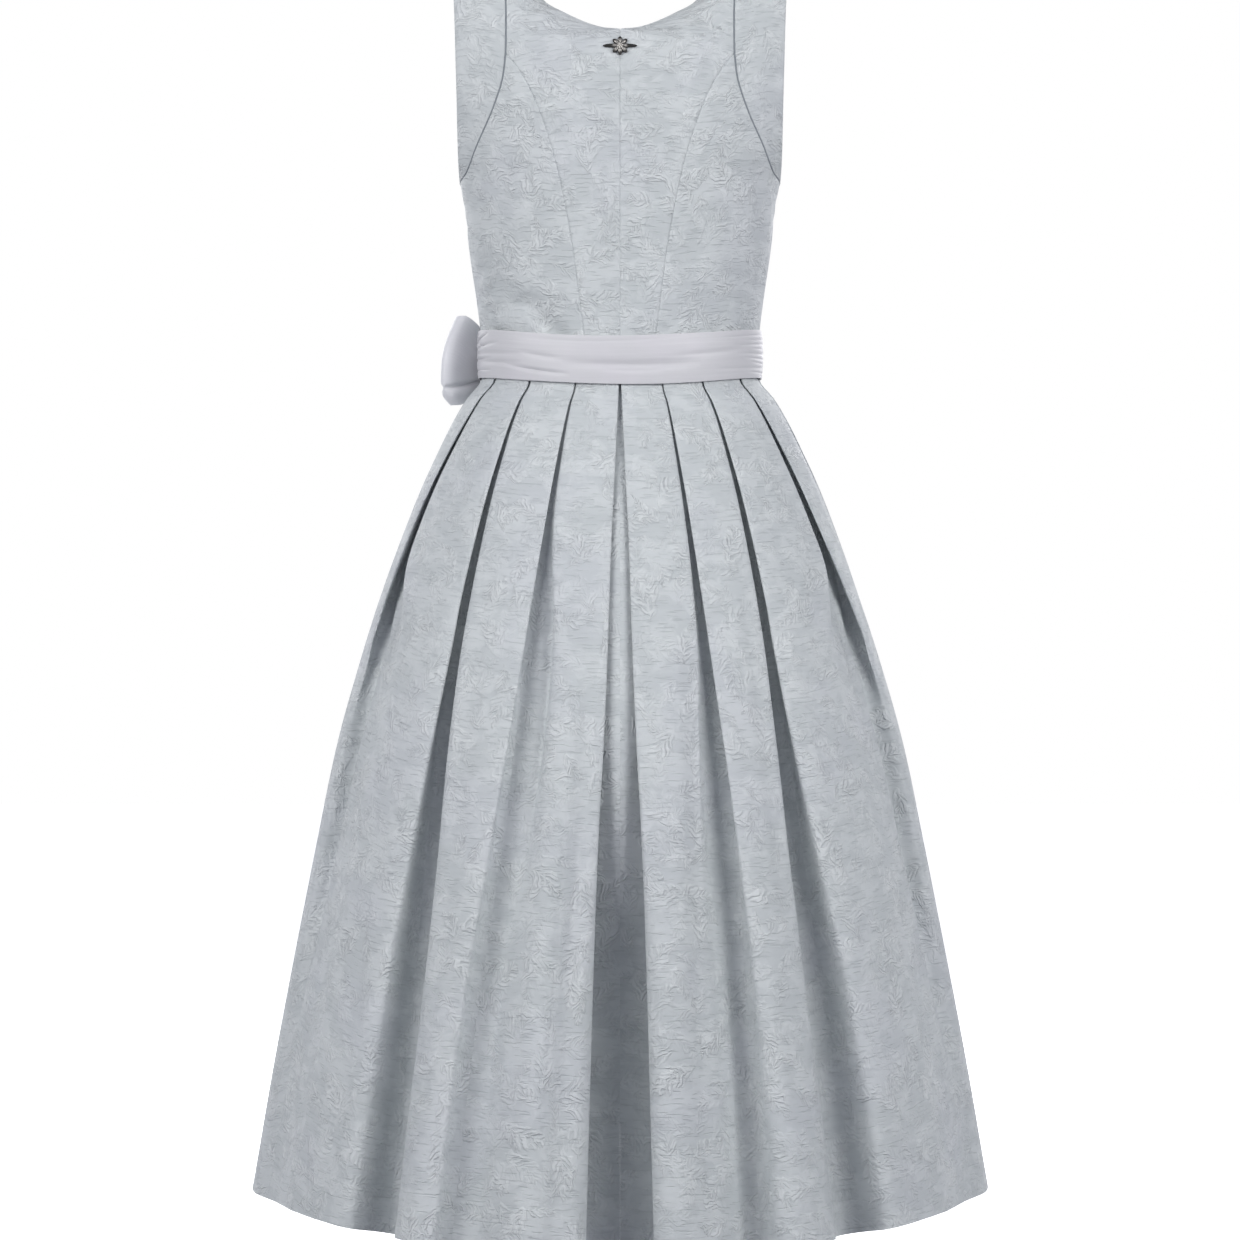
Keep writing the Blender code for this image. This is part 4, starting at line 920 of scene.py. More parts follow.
def bodice_seams():
    """Shared points of the seams behind and before.

    They are the princess seam, and the armhole from there down to the underarm and up to the
    shoulder.
    """
    seams = {}
    for half, before, princess, low, high in (
            ("back", False, BACK_PRINCESS, BACK_ARMHOLE_LOW, BACK_ARMHOLE_HIGH),
            ("front", True, FRONT_PRINCESS, FRONT_ARMHOLE_LOW, FRONT_ARMHOLE_HIGH)):
        line = seam_line(princess, before, PRINCESS_POINTS)
        line[0, 1] = math.sqrt(WAIST_DROP + WAIST_DIP * math.cos(line[0, 0]) ** 2)
        seams[half] = (line, seam_line(low, before, ARMHOLE_LOW_POINTS),
                       seam_line(high, before, ARMHOLE_HIGH_POINTS))
    return seams


def across(points, before):
    """Turns and roots of a seam as distances from the middle and signed roots."""
    placed = torso_by_turn(points[:, 0], points[:, 1])
    return np.stack([placed[:, 0], points[:, 1] * (-1 if before else 1)], axis=-1)


def armhole_loop(seams):
    """Whole armhole from the back underarm over the shoulder to the front underarm."""
    _, back_low, back_high = seams["back"]
    _, front_low, front_high = seams["front"]
    back = np.concatenate((back_low[::-1], back_high[1:]))
    front = np.concatenate((front_high[::-1][1:], front_low[1:]))
    return np.concatenate((across(back, False), across(front, True)))


def shoulder_cap(node, side, loop):
    """Crescent from the piped seam to the arm opening, over the shoulder from back to front.

    At its narrow ends it keeps no further from the piping than a share of its own width.
    """
    edge = np.array(CAP_EDGE)[::-1]
    inside = loop[np.abs(loop[:, 1]) < math.sqrt(CAP_END_DROP)]
    edge_x = smooth(inside[:, 1] ** 2, edge[:, 1], edge[:, 0])
    width = edge_x - inside[:, 0]
    x = inside[:, :1] + width[:, None] * crowded_shares(CAP_COLUMNS)
    root = np.repeat(inside[:, 1:], CAP_COLUMNS, axis=1)
    normals = outward_normals(torso_by_distance, x, root, step=CAP_NORMAL_STEP)
    piped = np.minimum(PIPING_MARGIN, width[1:] * NARROW_CAP_SHARE)
    margins = border_values(len(inside), CAP_COLUMNS, 0.0, 0.0, 0.0, piped)
    middle = draw_in_edges(torso_by_distance(x, root), normals, margins)
    relief = seam_relief(middle, 0.0, EDGE_ROLL, 0.0, PIPED_SINK)
    middle = middle + normals * relief[..., None]
    cloth_piece(node, middle, CLOTH, JACQUARD, "jacquard", "stretched",
                [node.replace("shoulder_cap", "armhole_piping") + "_cord"], side=side)


def armhole_piping(node, side, loop):
    """Thin round piping along the whole armhole, a closed ring, its dark colour painted shade of the
    seam's shadow line.
    """
    centres = torso_by_distance(loop[:, 0], loop[:, 1])
    centres[0, 1] = centres[-1, 1] = 0.0
    centres, places = centres[:-1], loop[:-1]
    normals = outward_normals(torso_by_distance, places[:, 0], places[:, 1], step=CAP_NORMAL_STEP)
    normals[0] = (1.0, 0.0, 0.0)
    mesh = tube(node + "_cord", centres, normals, PIPING_RADIUS, PIPING_SIDES, side)
    place_piece(node, mesh, PIPING_PAINTED_SHADE)


def build_bodice():
    """Panels, piping and shoulder cap of each side, on the seams that they share."""
    seams = bodice_seams()
    loop = armhole_loop(seams)
    for side, word in ((1, "left"), (-1, "right")):
        for half, before, neck, neck_row in (("back", False, BACK_NECK, BACK_NECK_ROW),
                                             ("front", True, FRONT_NECK, FRONT_NECK_ROW)):
            princess, armhole_low, armhole_high = seams[half]
            centre_panel(half + "_centre_" + word, side, princess, armhole_high, neck, neck_row, before)
            side_panel(half + "_side_" + word, side, princess, armhole_low)
        armhole_piping("armhole_piping_" + word, side, loop)
        shoulder_cap("shoulder_cap_" + word, side, loop)


# Skirt

def skirt_sections(drop, pleats):
    """Turns and insets of half the skirt, a row for each drop, from centre back to centre front."""
    openness = at_drop(SKIRT, "openness", drop)
    half_width = at_drop(SKIRT, "half_width", drop)
    opening, depth, fold, ridge = (at_drop(CENTRE_PLEAT, key, drop)
                                   for key in ("half_opening", "depth", "inner_fold", "ridge"))
    lip = opening / half_width
    inner = (opening + fold) / half_width
    turns = [of_inner * inner + of_lip * lip
             for of_inner, of_lip in zip(CENTRE_FOLDS["of_inner"], CENTRE_FOLDS["of_lip"])]
    insets = [share * depth * (1 - of_ridge * ridge)
              for share, of_ridge in zip(CENTRE_FOLDS["inset"], CENTRE_FOLDS["ridge"])]
    depth_before = depth
    for *lips_and_depths, early, undoing, swing in zip(*pleats.values()):
        next_lip, depth = (smooth(openness, PLEAT_LEVELS, np.array(values))
                           for values in (lips_and_depths[:3], lips_and_depths[3:]))
        swung = swing * np.sin(np.minimum(openness / PLEAT_LEVELS[1], 1.0) * math.pi)
        next_lip = np.radians(next_lip + swung)
        undone = undoing * ease((openness - UNDONE_FROM) / UNDONE_OVER)
        opened = openness + early * np.sin(openness * math.pi)
        opened = opened + (PLEAT_OPENNESS[-1] - opened) * undone
        depth = depth * (1 - UNDONE_LOSS * undone)
        for step in range(PLEAT_STEPS):
            along, inset = (smooth(opened, PLEAT_OPENNESS, shape[step])
                            for shape in (PLEAT_ALONG, PLEAT_INSET))
            reach = (depth_before + depth) / 2 if step < TURN_STEP else depth
            turns.append(lip + along * (next_lip - lip))
            insets.append(inset * reach)
        lip, depth_before = next_lip, depth
    lip_inset = smooth(openness, PLEAT_OPENNESS, PLEAT_INSET[0])
    for share in FRONT_SHARES:
        turns.append(lip + share * (math.pi - lip))
        insets.append(depth_before * lip_inset * (share == 0) + FRONT_FULLNESS * np.sin(share * math.pi))
    return np.stack(turns, axis=-1), np.stack(insets, axis=-1)


def refine_columns(control, fineness, rounding):
    """Rows of control points refined: straight runs blended with the cubic curve that rounds them."""
    count = control.shape[1]
    at = np.linspace(0, count - 1, (count - 1) * fineness + 1)
    cell = np.minimum(at.astype(int), count - 2)
    s = (at - cell)[None, :, None]
    padded = np.concatenate((2 * control[:, :1] - control[:, 1:2], control,
                             2 * control[:, -1:] - control[:, -2:-1]), axis=1)
    p0, p1, p2, p3 = (padded[:, cell + shift] for shift in range(4))
    straight = p1 * (1 - s) + p2 * s
    rounded = ((1 - s) ** 3 * p0 + (3 * s ** 3 - 6 * s ** 2 + 4) * p1
               + (-3 * s ** 3 + 3 * s ** 2 + 3 * s + 1) * p2 + s ** 3 * p3) / 6
    return straight + rounding * (rounded - straight)


def soften(grid, passes):
    """Average each point with its neighbours in the row, a number of times."""
    for _ in range(passes):
        grid[:, 1:-1] = (grid[:, :-2] + 2 * grid[:, 1:-1] + grid[:, 2:]) / 4
    return grid


def soft_folds(middle, columns_at, folds):
    """Troughs and ridges down the skirt: a bell of the distance along each row from the fold.

    columns_at gives the column at a place on a pleat. A fold that leaves this part is passed over.
    """
    along = travelled(middle, 1)
    level = -middle[..., 2].mean(axis=1)
    share = (level - WAIST_DROP) / (HEM_DROP - WAIST_DROP)
    relief = np.zeros(along.shape)
    for pleat, top, hem, start, end, width, depth in zip(*folds.values()):
        column = columns_at(pleat, top + share * (hem - top))
        if column.min() < 0 or column.max() > along.shape[1] - 1:
            continue
        low = column.astype(int)
        rows = np.arange(len(column))
        high = np.minimum(low + 1, along.shape[1] - 1)
        centre = along[rows, low] + (column - low) * (along[rows, high] - along[rows, low])
        fade = np.sin(np.clip((level - start) / (end - start), 0, 1) * math.pi) ** FOLD_FADE
        spread = width * (FOLD_WIDTH_AT_TOP + FOLD_WIDENING * share)
        shape = bell(along - centre[:, None], spread[:, None])
        relief -= depth * shape * fade[:, None]
    return relief


def build_skirt():
    """Four panels: each half of the skirt is cut in two at the side, in the depth of a pleat."""
    share = np.linspace(0, 1, SKIRT_ROWS)
    drop = WAIST_DROP + SEAM_GAP + (HEM_DROP - WAIST_DROP - SEAM_GAP) * share ** ROW_CROWDING
    first = len(CENTRE_FOLDS["inset"])
    cut = first + SIDE_PLEAT * PLEAT_STEPS + CUT_STEP
    for word, pleats, folds, side in (("left", PLEATS_LEFT, SOFT_FOLDS_LEFT, 1),
                                      ("right", PLEATS_RIGHT, SOFT_FOLDS_RIGHT, -1)):
        turns, insets = skirt_sections(drop, pleats)
        hang = HANG_OF_DIPS * insets * ((drop - WAIST_DROP) / (HEM_DROP - WAIST_DROP))[:, None]
        low = ease((drop - SIDE_HANG_FROM) / (HEM_DROP - SIDE_HANG_FROM))[:, None]
        hang = hang + SIDE_HANG * bell(turns - SIDE_HANG_TURN, SIDE_HANG_WIDTH) * low
        control = outline_point(SKIRT, turns, drop[:, None], -insets, hang)
        control[:, 0, 0] = CLOSED_SEAM
        control[:, -1, 0] = CLOSED_SEAM
        between = (control[:, cut] + control[:, cut + 1]) / 2
        shift = unit(control[:, cut + 1] - control[:, cut]) * CLOSED_SEAM
        back = np.concatenate((control[:, :cut + 1], (between - shift)[:, None]), axis=1)
        front = np.concatenate(((between + shift)[:, None], control[:, cut + 1:]), axis=1)
        openness = at_drop(SKIRT, "openness", drop)[:, None, None]
        opened = ease((openness - ROUNDING_FROM) * ROUNDING_RATE)
        rounding = LEAST_ROUNDING + (1 - LEAST_ROUNDING) * opened
        for half, part, start in (("back", back, 0), ("front", front, cut)):
            middle = soften(refine_columns(part, PLEAT_FINENESS, rounding), SOFTENINGS)

            def columns_at(pleat, place, start=start):
                return (first + pleat * PLEAT_STEPS + place * PLEAT_STEPS - start) * PLEAT_FINENESS

            middle = middle + grid_normals(middle) * soft_folds(middle, columns_at, folds)[..., None]
            columns = np.arange(middle.shape[1] - 1)
            pleat = (columns / PLEAT_FINENESS + start - first + UNDER_STEPS) // PLEAT_STEPS
            anchors = (first + pleat * PLEAT_STEPS + FACE_STEP - start) * PLEAT_FINENESS
            anchors = np.clip(anchors, 0, middle.shape[1] - 1).astype(int)
            cloth_piece("skirt_" + half + "_" + word, middle, CLOTH, JACQUARD, "jacquard", "gathered",
                        ["waist_tie_cloth"], side=side, anchors=anchors)


# Tie, apron and bow

def band_surface(start_turn, end_turn, columns, creases):
    """Band round the waist, softly padded between its edges, with creases along it."""
    turn = np.linspace(start_turn, end_turn, columns)[None, :]
    height = np.linspace(0, 1, BAND_ROWS)[:, None]
    tall = BAND["drop"][-1] - BAND["drop"][0]
    swing = sum(size * np.sin(turn * rate + start) for size, rate, start in BAND_SWINGS)
    middle = outline_point(BAND, turn, BAND["drop"][0] + height * tall, hang=swing * (0.5 - height))
    arc, fallen = np.broadcast_arrays(turn * BAND_RADIUS, height * tall)
    start, end = (np.radians(creases[key]) * BAND_RADIUS for key in ("turn_start", "turn_end"))
    runs = (start, creases["height_start"] * tall, end, creases["height_end"] * tall)
    relief = crease_relief(arc, fallen, runs, creases["width"], creases["depth"])
    relief = relief + BAND_PADDING * np.sin(height * math.pi) ** 0.5
    return middle + grid_normals(middle) * relief[..., None]


def build_band():
    """The tie round the back, and the band of the apron before it, joined under the bow."""
    join = math.radians(BAND_JOIN_TURN)
    margin = SEAM_MARGIN / BAND["half_depth"][0]
    back = band_surface(margin - join, join - margin, BAND_COLUMNS, TIE_CREASES)
    front = band_surface(join + margin, 2 * math.pi - join - margin, BAND_COLUMNS // 2, BAND_CREASES)
    cloth_piece("waist_tie", back, SATIN_CLOTH, SATIN, "satin", "stretched", ["apron_band_cloth"])
    cloth_piece("apron_band", front, SATIN_CLOTH, SATIN, "satin", "stretched", ["apron_panel_cloth"])


def build_apron():
    """Gathered panel: its wide waves grow towards the hem, and small tucks fade below the band."""
    edge = math.radians(APRON_EDGE_TURN)
    share = np.linspace(0, 1, APRON_COLUMNS)[None, :]
    turn = edge + share * (2 * math.pi - 2 * edge)
    even = share * 2 * math.pi * APRON_GATHERS
    phase = even
    for size, rate in APRON_STRAYS:
        phase = phase + size * np.sin(even * rate)
    start = BAND_BOTTOM_DROP + SEAM_GAP
    rows = np.linspace(0, 1, APRON_ROWS)[:, None] ** APRON_ROW_CROWDING
    drop = start + (APRON_HEM_DROP - start) * rows
    wave = at_drop(APRON_WAVE, "height", drop) * (0.5 - 0.5 * np.cos(phase))
    tuck = TUCK_HEIGHT * (0.5 + 0.5 * np.sin(share * 2 * math.pi * TUCKS + 1.4 * np.sin(phase * 0.7)))
    tuck = tuck * bell(drop - start, TUCK_LENGTH * (0.7 + 0.3 * np.sin(phase * 1.7 + 1.0)))
    middle = outline_point(SKIRT, turn, drop, APRON_BASE + wave + tuck)
    cloth_piece("apron_panel", middle, SATIN_CLOTH, SATIN, "satin", "gathered", ["apron_band_cloth"])


def knot_frame():
    """Origin of the knot on the band, and its directions: towards the back, outwards and up."""
    turn = math.radians(KNOT_TURN)
    half_width, half_depth = (at_drop(BAND, key, KNOT_DROP) for key in ("half_width", "half_depth"))
    origin = outline_point(BAND, np.array(turn), KNOT_DROP)
    along = unit(np.array([-half_width * math.cos(turn), half_depth * math.sin(turn), 0.0]))
    outward = unit(np.array([half_depth * math.sin(turn), half_width * math.cos(turn), 0.0]))
    return origin + outward * KNOT_LIFT, along, outward, np.array([0.0, 0.0, 1.0])


def build_knot():
    """Ball squared off a little, with creases that run over it from side to side."""
    origin, along, outward, up = knot_frame()
    latitude = np.linspace(-math.pi / 2, math.pi / 2, KNOT_ROWS + 2)[1:-1][:, None]
    longitude = np.linspace(0, 2 * math.pi, KNOT_COLUMNS, endpoint=False)[None, :]

    def squared(value):
        return np.sign(value) * np.abs(value) ** KNOT_POWER

    level = squared(np.cos(latitude))
    creased = 1.0
    for depth, start, slant, width in KNOT_CREASES:
        creased = creased - depth * bell(np.sin(longitude - start + slant * latitude), width)
    ball = np.stack(np.broadcast_arrays(level * squared(np.cos(longitude)) * creased,
                                        level * squared(np.sin(longitude)) * creased,
                                        squared(np.sin(latitude))), axis=-1).reshape(-1, 3)
    poles = [[0, 0, -1], [0, 0, 1]]
    place = np.concatenate((ball, poles)) * KNOT_HALF + [0, KNOT_PROUD, 0]
    points = origin + place[:, :1] * along + place[:, 1:2] * outward + place[:, 2:] * up
    number = np.arange(len(ball)).reshape(KNOT_ROWS, KNOT_COLUMNS)
    turned = np.roll(number, -1, axis=1)
    caps = [[len(ball), b, a] for a, b in zip(number[0], turned[0])]
    caps += [[len(ball) + 1, a, b] for a, b in zip(number[-1], turned[-1])]
    mesh = bpy.data.meshes.new("bow_knot_cloth")
    mesh.from_pydata(points.tolist(), [], ring_faces(number).tolist() + caps)
    mesh.uv_layers.new(name="cloth")
    mesh.shade_smooth()
    place_piece("bow_knot", mesh, KNOT_SATIN_PAINTED_LIGHT)


def build_loop(node, direction):
    """Ribbon loop: a drop-shaped band, open above and below, with creases that fan from the knot."""
    origin, along, outward, up = knot_frame()
    turn = np.linspace(LOOP_START, 1 - LOOP_START, LOOP_COLUMNS)[None, :] * 2 * math.pi
    height = np.linspace(1, -1, LOOP_ROWS)[:, None]
    out_share = (1 - np.cos(turn)) / 2
    slant = LOOP_SLANT * np.maximum(height, 0) ** 1.5 + LOOP_ROLL * np.maximum(-height, 0) ** 4
    reach = LOOP_REACH - KNOT_HALF[0] - slant
    t = KNOT_HALF[0] + SEAM_GAP + reach * (out_share - out_share[0, 0])
    depth = LOOP_DEPTH * (LOOP_NARROW_DEPTH + (1 - LOOP_NARROW_DEPTH) * out_share) * np.sin(turn)
    lean = LOOP_LEAN * np.maximum(-height, 0) * np.minimum(out_share * 3, 1.0)
    n = KNOT_PROUD + depth + lean - LOOP_SWEEP * out_share
    opened = np.minimum(out_share * LOOP_OPENS[0], 1.0) ** LOOP_OPENS[1]
    z = height * (LOOP_HALF_HEIGHTS[0] + (LOOP_HALF_HEIGHTS[1] - LOOP_HALF_HEIGHTS[0]) * opened)
    z = z * np.where(height < 0, LOOP_SHORTER_BELOW, 1.0)
    fan = (1 - out_share) ** 1.2 * np.sin(height * LOOP_FANNING + 0.8 * np.sin(turn)) * LOOP_FAN
    level = sum(bell(height - middle, width) * ease(out_share * LOOP_LEVELS_GROW) * depth
                for middle, width, depth in LOOP_LEVELS)
    fine = LOOP_FINE * np.sin(height * LOOP_FINENESS + turn * 0.9) * (1 - out_share)
    creased = (fan - level + fine) * np.sign(np.sin(turn)) * np.minimum(np.abs(np.sin(turn)) * 3, 1)
    t, n, z = np.broadcast_arrays(t, n + creased, z)
    middle = origin + direction * t[..., None] * along + n[..., None] * outward + z[..., None] * up
    cloth_piece(node, middle, SATIN_CLOTH, BOW_SATIN_PAINTED_LIGHT, "satin", "folded", ["bow_knot_cloth"])


def build_end(node, rows, phase):
    """Ribbon end that hangs from the knot over the apron and skirt, cut on a slant."""
    share = np.linspace(-1, 1, BOW_END_ACROSS)[None, :]
    last = len(rows["drop"]) - 1
    at = np.linspace(0, last, BOW_END_ROWS)[:, None]
    drop, turn, half_width, offset = (smooth(at, np.arange(last + 1.0), column)
                                      for column in rows.values())
    slant = BOW_END_SLANT * share * ease(at - last + 1.0)
    grown = np.minimum(1.0, at / 3)
    fold = BOW_END_FOLD * np.cos(share * math.pi * 1.5) * grown
    gather = BOW_END_GATHER * np.sin(share * 11 + phase) * bell(at - 0.6, 1.6)
    wander = BOW_END_WANDER * np.sin(at * 1.3 + share * 1.2 + phase) * grown
    turn = np.radians(turn)
    speed = np.hypot(at_drop(SKIRT, "half_width", drop) * np.cos(turn),
                     at_drop(SKIRT, "half_depth", drop) * np.sin(turn))
    middle = outline_point(SKIRT, turn + share * half_width / speed, drop,
                           offset + fold + gather + wander, slant)
    cloth_piece(node, middle, SATIN_CLOTH, BOW_SATIN_PAINTED_LIGHT, "satin", "hung", ["bow_knot_cloth"])


# Ornament

def build_ornament():
    """Cast blossom with two leaves: rings of points from its middle out to its outline.

    The face is domed, each petal has a ridge down its middle and a groove to the next petal, and
    small florets stand round the middle.
    """
    root = np.array(math.sqrt(ORNAMENT_DROP))
    turn = np.array(0.0)
    outward = outward_normals(torso_by_turn, turn, root)
    middle = torso_by_turn(turn, root) + outward * ORNAMENT_PROUD
    sideways = np.array([1.0, 0.0, 0.0])
    up = unit(np.cross(outward, sideways))
    up = up * np.sign(up[2])
    angle = np.linspace(0, 2 * math.pi, ORNAMENT_COLUMNS, endpoint=False)[None, :]
    ring = np.linspace(0.03, 1, ORNAMENT_RINGS)[:, None]
    petal = np.abs(np.cos(angle * PETALS / 2))
    reach = PETAL_REACH[0] + (PETAL_REACH[1] - PETAL_REACH[0]) * petal ** PETAL_POWER
    reach = np.maximum(reach, CAST_LEAF_REACH * bell(np.sin(angle), CAST_LEAF_WIDTH))
    distance = ring * reach
    ridge, florets, heart = (height * bell(distance - place, width)
                             for height, place, width in (PETAL_RIDGE, FLORET_RELIEF, HEART_RELIEF))
    height, slant, rate = CAST_VEINS
    veins = height * np.sin((distance - np.abs(np.sin(angle)) * slant) * rate)
    veins = veins * (distance > PETAL_REACH[1])
    relief = ridge * petal ** 0.5 + florets * np.abs(np.sin(angle * FLORETS / 2)) + heart + veins
    dome = ORNAMENT_THICKNESS * np.sqrt(np.clip(1 - (ring * 0.985) ** 6, 0, 1))
    flat = (np.cos(angle) * distance)[..., None] * sideways + (np.sin(angle) * distance)[..., None] * up
    front = middle + flat + (dome + relief)[..., None] * outward
    grid = np.concatenate((front, middle + flat[::-1]))
    number = np.arange(grid.shape[0] * grid.shape[1]).reshape(grid.shape[:2])
    faces = ring_faces(number).tolist() + [number[0, ::-1].tolist(), number[-1].tolist()]
    mesh = bpy.data.meshes.new("neck_ornament_cast")
    mesh.from_pydata(grid.reshape(-1, 3).tolist(), [], faces)
    raised = mesh.attributes.new("raised", "FLOAT", "POINT")
    level = np.concatenate((relief / FULLY_RAISED, np.zeros(relief.shape)))
    raised.data.foreach_set("value", level.astype(np.float32).ravel())
    mesh.shade_smooth()
    mesh.set_sharp_from_angle(angle=CAST_EDGES)
    place_piece("neck_ornament", mesh, ANTIQUE_SILVER)


# Materials

def add(tree, kind, values=(), **settings):
    """Shader node of a kind, with its settings, and its listed inputs given a value or a link."""
    node = tree.nodes.new("ShaderNode" + kind)
    for key, value in settings.items():
        setattr(node, key, value)
    for key, value in dict(values).items():
        if isinstance(value, bpy.types.NodeSocket):
            tree.links.new(value, node.inputs[key])
        else:
            node.inputs[key].default_value = value
    return node


def calc(tree, operation, *values):
    """Result of one step of arithmetic on sockets and numbers."""
    return add(tree, "Math", dict(enumerate(values)), operation=operation).outputs[0]


def weighted(tree, layers, weights):
    """Sum of the named layers, each times its weight."""
    total = 0.0
    for name, weight in weights.items():
        total = calc(tree, "ADD", total, calc(tree, "MULTIPLY", layers[name], weight))
    return total


def remap(tree, value, low, high, to_low=0.0, to_high=1.0):
    """Value brought from one range into another with a smooth step."""
    ranges = {"Value": value, "From Min": low, "From Max": high, "To Min": to_low, "To Max": to_high}
    return add(tree, "MapRange", ranges, interpolation_type="SMOOTHSTEP").outputs[0]


def mixed(tree, share, first, second):
    """Colour at a share of the way from one colour to another."""
    return add(tree, "Mix", {"Factor": share, 6: first, 7: second}, data_type="RGBA").outputs[2]


def new_group(name, inputs, outputs):
    """Shader node group with named inputs and outputs, its input node and its output node."""
    tree = bpy.data.node_groups.new(name, "ShaderNodeTree")
    for label, kind, default in inputs:
        socket = tree.interface.new_socket(label, in_out="INPUT", socket_type=kind)
        if default is not None:
            socket.default_value = default
    for label, kind in outputs:
        tree.interface.new_socket(label, in_out="OUTPUT", socket_type=kind)
    return tree, tree.nodes.new("NodeGroupInput").outputs, tree.nodes.new("NodeGroupOutput").inputs


def stretched_noise(tree, place, scale, detail=2.0, roughness=0.5):
    """Noise on a place that is scaled by a different amount across and along."""
    spread = add(tree, "Mapping", {"Vector": place, "Scale": (scale[0], scale[1], 1.0)})
    noise = add(tree, "TexNoise", {"Vector": spread.outputs[0], "Scale": 1.0, "Detail": detail,
                                   "Roughness": roughness}, noise_dimensions="2D")
    return noise.outputs[0]


def leaf_layer(tree, place, size, start, vein):
    """Veins of leaves strewn one to a cell, each turned its own way.

    A leaf has a bent midrib, a pointed outline that narrows as the square of the distance along
    it, and veins that slant back from the midrib at an even spacing.
    """
    spread = add(tree, "Mapping", {"Vector": place, "Location": (start, start * 1.7, 0.0),
                                   "Scale": (1 / size, 1 / size, 1.0)}).outputs[0]
    cell = add(tree, "TexVoronoi", {"Vector": spread, "Scale": 1.0, "Randomness": LEAF_STRAY},
               voronoi_dimensions="2D")
    local = add(tree, "VectorMath", {0: spread, 1: cell.outputs["Position"]}, operation="SUBTRACT")
    chance = add(tree, "SeparateColor", {0: cell.outputs["Color"]})
    angle = calc(tree, "MULTIPLY", chance.outputs[0], 2 * math.pi)
    turned = add(tree, "VectorRotate", {"Vector": local.outputs[0], "Angle": angle},
                 rotation_type="Z_AXIS")
    parts = add(tree, "SeparateXYZ", {0: turned.outputs[0]}).outputs
    square = calc(tree, "MULTIPLY", parts[0], parts[0])
    bend = calc(tree, "MULTIPLY", square, calc(tree, "SUBTRACT", chance.outputs[1], LEAF_BEND))
    aside = calc(tree, "ABSOLUTE", calc(tree, "SUBTRACT", parts[1], bend))
    width = calc(tree, "MULTIPLY_ADD", square, LEAF_NARROWING, LEAF_HALF_WIDTH)
    inside = remap(tree, calc(tree, "SUBTRACT", width, aside), *LEAF_EDGE)
    slanted = calc(tree, "MULTIPLY_ADD", aside, VEIN_SLANT, parts[0])
    wave = calc(tree, "SINE", calc(tree, "MULTIPLY", slanted, 2 * math.pi * size / vein))
    grain = add(tree, "CombineXYZ", {0: slanted, 1: parts[1]})
    grain_scale = (VEIN_GRAIN[0] * size / vein, size / (vein * VEIN_GRAIN[1]))
    uneven = stretched_noise(tree, grain.outputs[0], grain_scale, detail=1.0)
    ribs = remap(tree, calc(tree, "MULTIPLY_ADD", wave, VEIN_WAVE, uneven), *VEIN_EDGE)
    crossed = calc(tree, "MAXIMUM", ribs, remap(tree, aside, *MIDRIB))
    return calc(tree, "MULTIPLY", inside, crossed)


def weave_group(name):
    """Node group of a weave, from a place on the cloth to a tone and a height."""
    return new_group(name, [("Place", "NodeSocketVector", None)],
                     [("Tone", "NodeSocketFloat"), ("Height", "NodeSocketFloat")])


def jacquard_group():
    """Veined leaves on a ground of crosswise slubs, bands, patches and threads."""
    tree, given, out = weave_group("jacquard weave")
    place = given["Place"]
    sway = add(tree, "TexNoise", {"Vector": place, "Scale": SWAY_SCALE, "Detail": 3.0},
               noise_dimensions="2D")
    centred = add(tree, "VectorMath", {0: sway.outputs["Color"], 1: (0.5, 0.5, 0.5)},
                  operation="SUBTRACT")
    swayed = add(tree, "VectorMath", {0: centred.outputs[0], 1: SWAY, 2: place},
                 operation="MULTIPLY_ADD").outputs[0]
    big = leaf_layer(tree, swayed, *BIG_LEAVES)
    small = leaf_layer(tree, swayed, *SMALL_LEAVES)
    veins = calc(tree, "MAXIMUM", big, calc(tree, "MULTIPLY", small, SMALL_STRENGTH))
    worn = remap(tree, stretched_noise(tree, place, (24.0, 30.0), detail=3.0), 0.38, 0.62, 0.35, 1.0)
    patch = stretched_noise(tree, swayed, (27.0, 36.0), detail=4.0, roughness=0.6)
    across_threads = add(tree, "SeparateXYZ", {0: place}).outputs[1]
    layers = {
        "veins": calc(tree, "MULTIPLY", veins, worn),
        "slub": remap(tree, stretched_noise(tree, place, (60.0, 480.0)), 0.56, 0.72),
        "band": stretched_noise(tree, place, (16.0, 170.0), detail=1.0),
        "patch": remap(tree, patch, 0.44, 0.57),
        "thread": calc(tree, "SINE", calc(tree, "MULTIPLY", across_threads, 2 * math.pi / THREAD_PITCH)),
    }
    tree.links.new(weighted(tree, layers, JACQUARD_TONE), out["Tone"])
    tree.links.new(weighted(tree, layers, JACQUARD_HEIGHT), out["Height"])
    return tree


def satin_group():
    """Fine ribs along the cloth with faint streaks."""
    tree, given, out = weave_group("satin weave")
    place = given["Place"]
    layers = {
        "streak": stretched_noise(tree, place, (10.0, 420.0), detail=3.0),
        "soft": stretched_noise(tree, place, (30.0, 60.0), detail=2.0),
        "fine": stretched_noise(tree, place, (300.0, 1400.0), detail=1.0),
    }
    tree.links.new(weighted(tree, layers, SATIN_TONE), out["Tone"])
    tree.links.new(weighted(tree, layers, SATIN_HEIGHT), out["Height"])
    return tree


